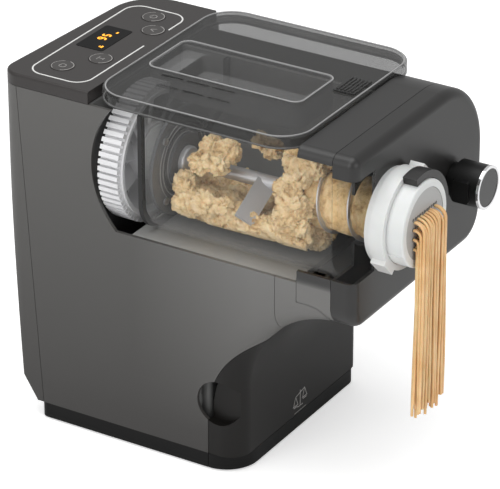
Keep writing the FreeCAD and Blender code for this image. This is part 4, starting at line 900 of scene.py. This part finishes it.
def disc_rings():
    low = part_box("back_plate")[0]
    lines = []
    angles = [math.radians(360 / RING_POINTS * i) for i in range(RING_POINTS)]
    for r in RING_RADII:
        lines.append([Vector((AXIS.x / MM + r * math.cos(a), low[1] / MM - 0.1,
                              AXIS.z / MM + r * math.sin(a))) for a in angles])
    obj = sweep_lines("disc_rings", lines, RING_R, 8, ring_grey, closed=True)
    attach(obj, "chamber")


# The beads' pale film is a painted highlight along the lid's rim and well.
bead_painted_highlight = clear_plastic("bead_painted_highlight", (0.40, 0.40, 0.40), (0.70, 0.70, 0.70), 0.62, 0.92, gloss=0.12)
ring_grey = drifting_plastic("ring_grey", (0.30, 0.30, 0.30), (0.24, 0.24, 0.24), gloss=0.35, depth=0.0)
lid_highlight_beads()
disc_rings()
print("lid beads and disc rings made")

# %% [markdown]
# The display shows amber digits. A digit is seven bars, so one function draws any number from the
# list of bars that are lit. They are thin glowing strips a hair above the black window.

# %% Display digits
GLOW_T = 0.15
DIGIT_HALF = 3.2
DIGIT_THICK = 1.35
DIGIT_ROW = 13.5
BARS = {"a": (0.0, 1.0, 0), "b": (0.5, 0.5, 1), "c": (0.5, -0.5, 1), "d": (0.0, -1.0, 0),
        "e": (-0.5, -0.5, 1), "f": (-0.5, 0.5, 1), "g": (0.0, 0.0, 0)}
LIT = {"9": "abcdfg", "5": "acdfg"}


def amber_material():
    mat, tree, shader = bare_material("amber_light", Roughness=0.4, Emission_Strength=1.2)
    drift = place_group(tree, TONE_DRIFT, Colour=(0.95, 0.42, 0.03, 1), Second_colour=(0.85, 0.32, 0.02, 1),
                        Scale=300.0, Gloss=0.4, Gloss_change=0.05)
    tree.links.new(drift.outputs["Colour"], shader.inputs["Base Color"])
    tree.links.new(drift.outputs["Colour"], shader.inputs["Emission Color"])
    return mat


def flat_box(bm, cx, cy, w, h, z0, z1):
    place = Matrix.Translation(Vector((cx, cy, (z0 + z1) / 2)) * MM)
    size = Matrix.Diagonal((w * MM, h * MM, (z1 - z0) * MM, 1))
    bmesh.ops.create_cube(bm, size=1.0, matrix=place @ size)


def draw_digit(bm, digit, cx, cy, z):
    reach = DIGIT_HALF - DIGIT_THICK * 0.4
    for bar in LIT[digit]:
        bx, by, upright = BARS[bar]
        w, h = (DIGIT_THICK, reach) if upright else (reach, DIGIT_THICK)
        flat_box(bm, cx + bx * DIGIT_HALF, cy + by * DIGIT_HALF, w, h, z, z + GLOW_T)


def lay(name, build, mat, body):
    mesh = mesh_from(name, build)
    mesh.materials.append(mat)
    obj = link_mesh(name, mesh)
    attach(obj, body)
    return obj


def display_corner():
    low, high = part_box("display_window")
    return low[0] / MM, low[1] / MM, high[2] / MM


def make_digits():
    x0, y0, z = display_corner()

    def build(bm):
        draw_digit(bm, "9", x0 + 20.8, y0 + DIGIT_ROW, z)
        draw_digit(bm, "5", x0 + 27.8, y0 + DIGIT_ROW, z)
        for x, y, w, h in ((36.0, 9.0, 2.6, 1.6), (7.0, 4.5, 3.4, 1.6), (7.0, 6.6, 1.8, 1.2)):
            flat_box(bm, x0 + x, y0 + y, w, h, z, z + GLOW_T)
    return lay("display_digits", build, amber_material(), "housing")


digits = make_digits()
print("digits have", len(digits.data.polygons), "faces")

# %% [markdown]
# Each key carries a small generic sign inside a thin, broken light ring. On the real object these
# are printed; here they are flat strips a tenth of a millimetre thick, so that they stay sharp from
# close by and ride down with their key.

# %% Key signs
ARC_STEPS = 40
LIGHT_RING_R = 8.5
SIGN_SINK = 0.02
SIGN_T = 0.1


def arc_strip(bm, cx, cy, r, start, stop, width, z0, z1):
    """Flat curved strip round (cx, cy), from one angle in degrees to another."""
    rings = []
    for i in range(ARC_STEPS + 1):
        a = math.radians(start + (stop - start) * i / ARC_STEPS)
        ring = [bm.verts.new(Vector((cx + q * math.cos(a), cy + q * math.sin(a), z)) * MM)
                for q, z in ((r, z0), (r + width, z0), (r + width, z1), (r, z1))]
        rings.append(ring)
    for here, after in zip(rings, rings[1:]):
        for k in range(4):
            bm.faces.new((here[k], here[(k + 1) % 4], after[(k + 1) % 4], after[k]))
    bm.faces.new(rings[0])
    bm.faces.new(tuple(reversed(rings[-1])))


def turned_bar(bm, cx, cy, length, width, angle, z0, z1):
    place = Matrix.Translation(Vector((cx, cy, (z0 + z1) / 2)) * MM)
    turn = Matrix.Rotation(math.radians(angle), 4, "Z")
    size = Matrix.Diagonal((length * MM, width * MM, (z1 - z0) * MM, 1))
    bmesh.ops.create_cube(bm, size=1.0, matrix=place @ turn @ size)


def key_sign(node, body, kind):
    low, high = (Vector(corner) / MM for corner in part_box(node))
    cx = (low.x + high.x) / 2
    cy = (low.y + high.y) / 2
    z0 = high.z - SIGN_SINK
    z1 = high.z + SIGN_T

    def build(bm):
        arc_strip(bm, cx, cy, LIGHT_RING_R, 200, 350, 0.55, z0, z1)
        arc_strip(bm, cx, cy, LIGHT_RING_R, 20, 150, 0.35, z0, z1)
        if kind in ("power", "start"):
            arc_strip(bm, cx, cy, 2.6, 120, 420, 0.5, z0, z1)
            turned_bar(bm, cx, cy + 2.2, 0.5, 2.6, 0, z0, z1)
        if kind == "weigh":
            turned_bar(bm, cx, cy + 2.4, 6.0, 0.5, 0, z0, z1)
            turned_bar(bm, cx, cy, 0.5, 5.0, 0, z0, z1)
            turned_bar(bm, cx, cy - 2.6, 3.6, 0.5, 0, z0, z1)
        if kind == "program":
            turned_bar(bm, cx - 1.4, cy, 5.0, 0.5, 60, z0, z1)
            turned_bar(bm, cx + 1.4, cy, 5.0, 0.5, -60, z0, z1)
    return lay("sign_" + kind, build, line_grey, body)


line_grey = drifting_plastic("line_grey", (0.38, 0.37, 0.36), (0.33, 0.32, 0.31), gloss=0.5, depth=0.0)
signs = [key_sign("key_" + kind, kind + "_key", kind) for kind in ("power", "weigh", "start", "program")]
print("key signs:", len(signs))

# %% [markdown]
# The drawer's front shows a small pair of scales, because the machine weighs the flour. It is drawn
# with thin flat strokes on the face. The knob's bright ring holds a plain dark cap.

# %% Scales and knob cap
MARK_X = AXIS.x / MM + 43.0
MARK_Y = -37.05
MARK_Z = 27.0
STROKE_T = 0.16
CAP_R = 15.4
CAP_T = 1.4
CAP_INSET = 1.2


def stroke(bm, x0, z0, x1, z1, width, y):
    mid = Vector(((x0 + x1) / 2, y, (z0 + z1) / 2)) * MM
    length = math.hypot(x1 - x0, z1 - z0)
    turn = Matrix.Rotation(-math.atan2(z1 - z0, x1 - x0), 4, "Y")
    size = Matrix.Diagonal(((length + width * 0.8) * MM, STROKE_T * MM, width * MM, 1))
    bmesh.ops.create_cube(bm, size=1.0, matrix=Matrix.Translation(mid) @ turn @ size)


def draw_scales(bm):
    x, y, z = MARK_X, MARK_Y, MARK_Z
    stroke(bm, x, z - 7, x, z + 7, 0.6, y)
    stroke(bm, x - 7, z + 3.6, x + 7, z + 6.4, 0.6, y)
    stroke(bm, x - 4, z - 7, x + 4, z - 7, 0.6, y)
    for cx, top in ((x - 7, z + 3.6), (x + 7, z + 6.4)):
        stroke(bm, cx, top, cx - 3.4, top - 8, 0.45, y)
        stroke(bm, cx, top, cx + 3.4, top - 8, 0.45, y)
        stroke(bm, cx - 3.8, top - 8, cx + 3.8, top - 8, 0.6, y)
        stroke(bm, cx - 2.6, top - 9.4, cx + 2.6, top - 9.4, 0.6, y)
    stroke(bm, x - 9, z - 11, x + 9, z - 11, 0.3, y)


def draw_cap(bm):
    low, high = (Vector(corner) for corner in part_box("knob_ring"))
    place = Matrix.Translation(Vector(((low.x + high.x) / 2, low.y + CAP_INSET * MM, (low.z + high.z) / 2)))
    bmesh.ops.create_cone(bm, cap_ends=True, segments=96, radius1=CAP_R * MM, radius2=CAP_R * MM,
                          depth=CAP_T * MM, matrix=place @ Matrix.Rotation(math.radians(90), 4, "X"))


lay("scales_mark", draw_scales, line_grey, "drawer")
lay("knob_cap", draw_cap, cap_grey, "knob")
print("scales and cap made")

# %% [markdown]
# The stage is a pale floor under a white sky, with three large soft lamps: one above, one from
# the left that lights the side and the chamber, and a weaker one from the front.

# %% Stage and lamps
FLOOR_HALF = 6.0
FLOOR_GLOW = 0.42
SKY_ON_OBJECT = 0.55
SKY_IN_VIEW = 1.0


def make_floor():
    mesh = mesh_from("floor", lambda bm: bmesh.ops.create_grid(bm, x_segments=2, y_segments=2,
                                                               size=FLOOR_HALF))
    mat, tree, shader = bare_material("floor_pale", Roughness=0.9)
    shader.inputs["Base Color"].default_value = (0.93, 0.93, 0.93, 1)
    shader.inputs["Emission Color"].default_value = (1, 1, 1, 1)
    path = add(tree, "ShaderNodeLightPath")
    glow = add(tree, "ShaderNodeMath", operation="MULTIPLY")
    glow.inputs[1].default_value = FLOOR_GLOW
    tree.links.new(path.outputs["Is Camera Ray"], glow.inputs[0])
    tree.links.new(glow.outputs[0], shader.inputs["Emission Strength"])
    mesh.materials.append(mat)
    obj = link_mesh("floor", mesh)


def area_lamp(name, place, target, size, power):
    data = bpy.data.lights.new(name, "AREA")
    data.shape = "RECTANGLE"
    data.size, data.size_y = size
    data.energy = power
    lamp = bpy.data.objects.new(name, data)
    bpy.context.scene.collection.objects.link(lamp)
    lamp.location = place
    lamp.rotation_euler = (Vector(target) - Vector(place)).to_track_quat("-Z", "Y").to_euler()


def make_world():
    world = bpy.data.worlds.new("studio")
    world.use_nodes = True
    tree = world.node_tree
    back = tree.nodes["Background"]
    path = add(tree, "ShaderNodeLightPath")
    direct = add(tree, "ShaderNodeMath", operation="MAXIMUM")
    tree.links.new(path.outputs["Is Camera Ray"], direct.inputs[0])
    tree.links.new(path.outputs["Is Transmission Ray"], direct.inputs[1])
    strength = add(tree, "ShaderNodeMapRange")
    strength.inputs["To Min"].default_value = SKY_ON_OBJECT
    strength.inputs["To Max"].default_value = SKY_IN_VIEW
    tree.links.new(direct.outputs[0], strength.inputs["Value"])
    tree.links.new(strength.outputs["Result"], back.inputs["Strength"])
    back.inputs["Color"].default_value = (1, 1, 1, 1)
    bpy.context.scene.world = world


make_floor()
make_world()
area_lamp("lamp_top", (-0.2, 0.1, 1.7), (0, 0, 0.2), (1.4, 1.4), 14.0)
area_lamp("lamp_left", (-1.8, 0.2, 1.0), (0, 0, 0.15), (1.2, 1.6), 12.0)
area_lamp("lamp_front", (-0.5, -2.0, 0.9), (0, 0, 0.15), (1.4, 1.2), 9.0)
bpy.context.scene.view_settings.view_transform = "Standard"
print("stage ready")
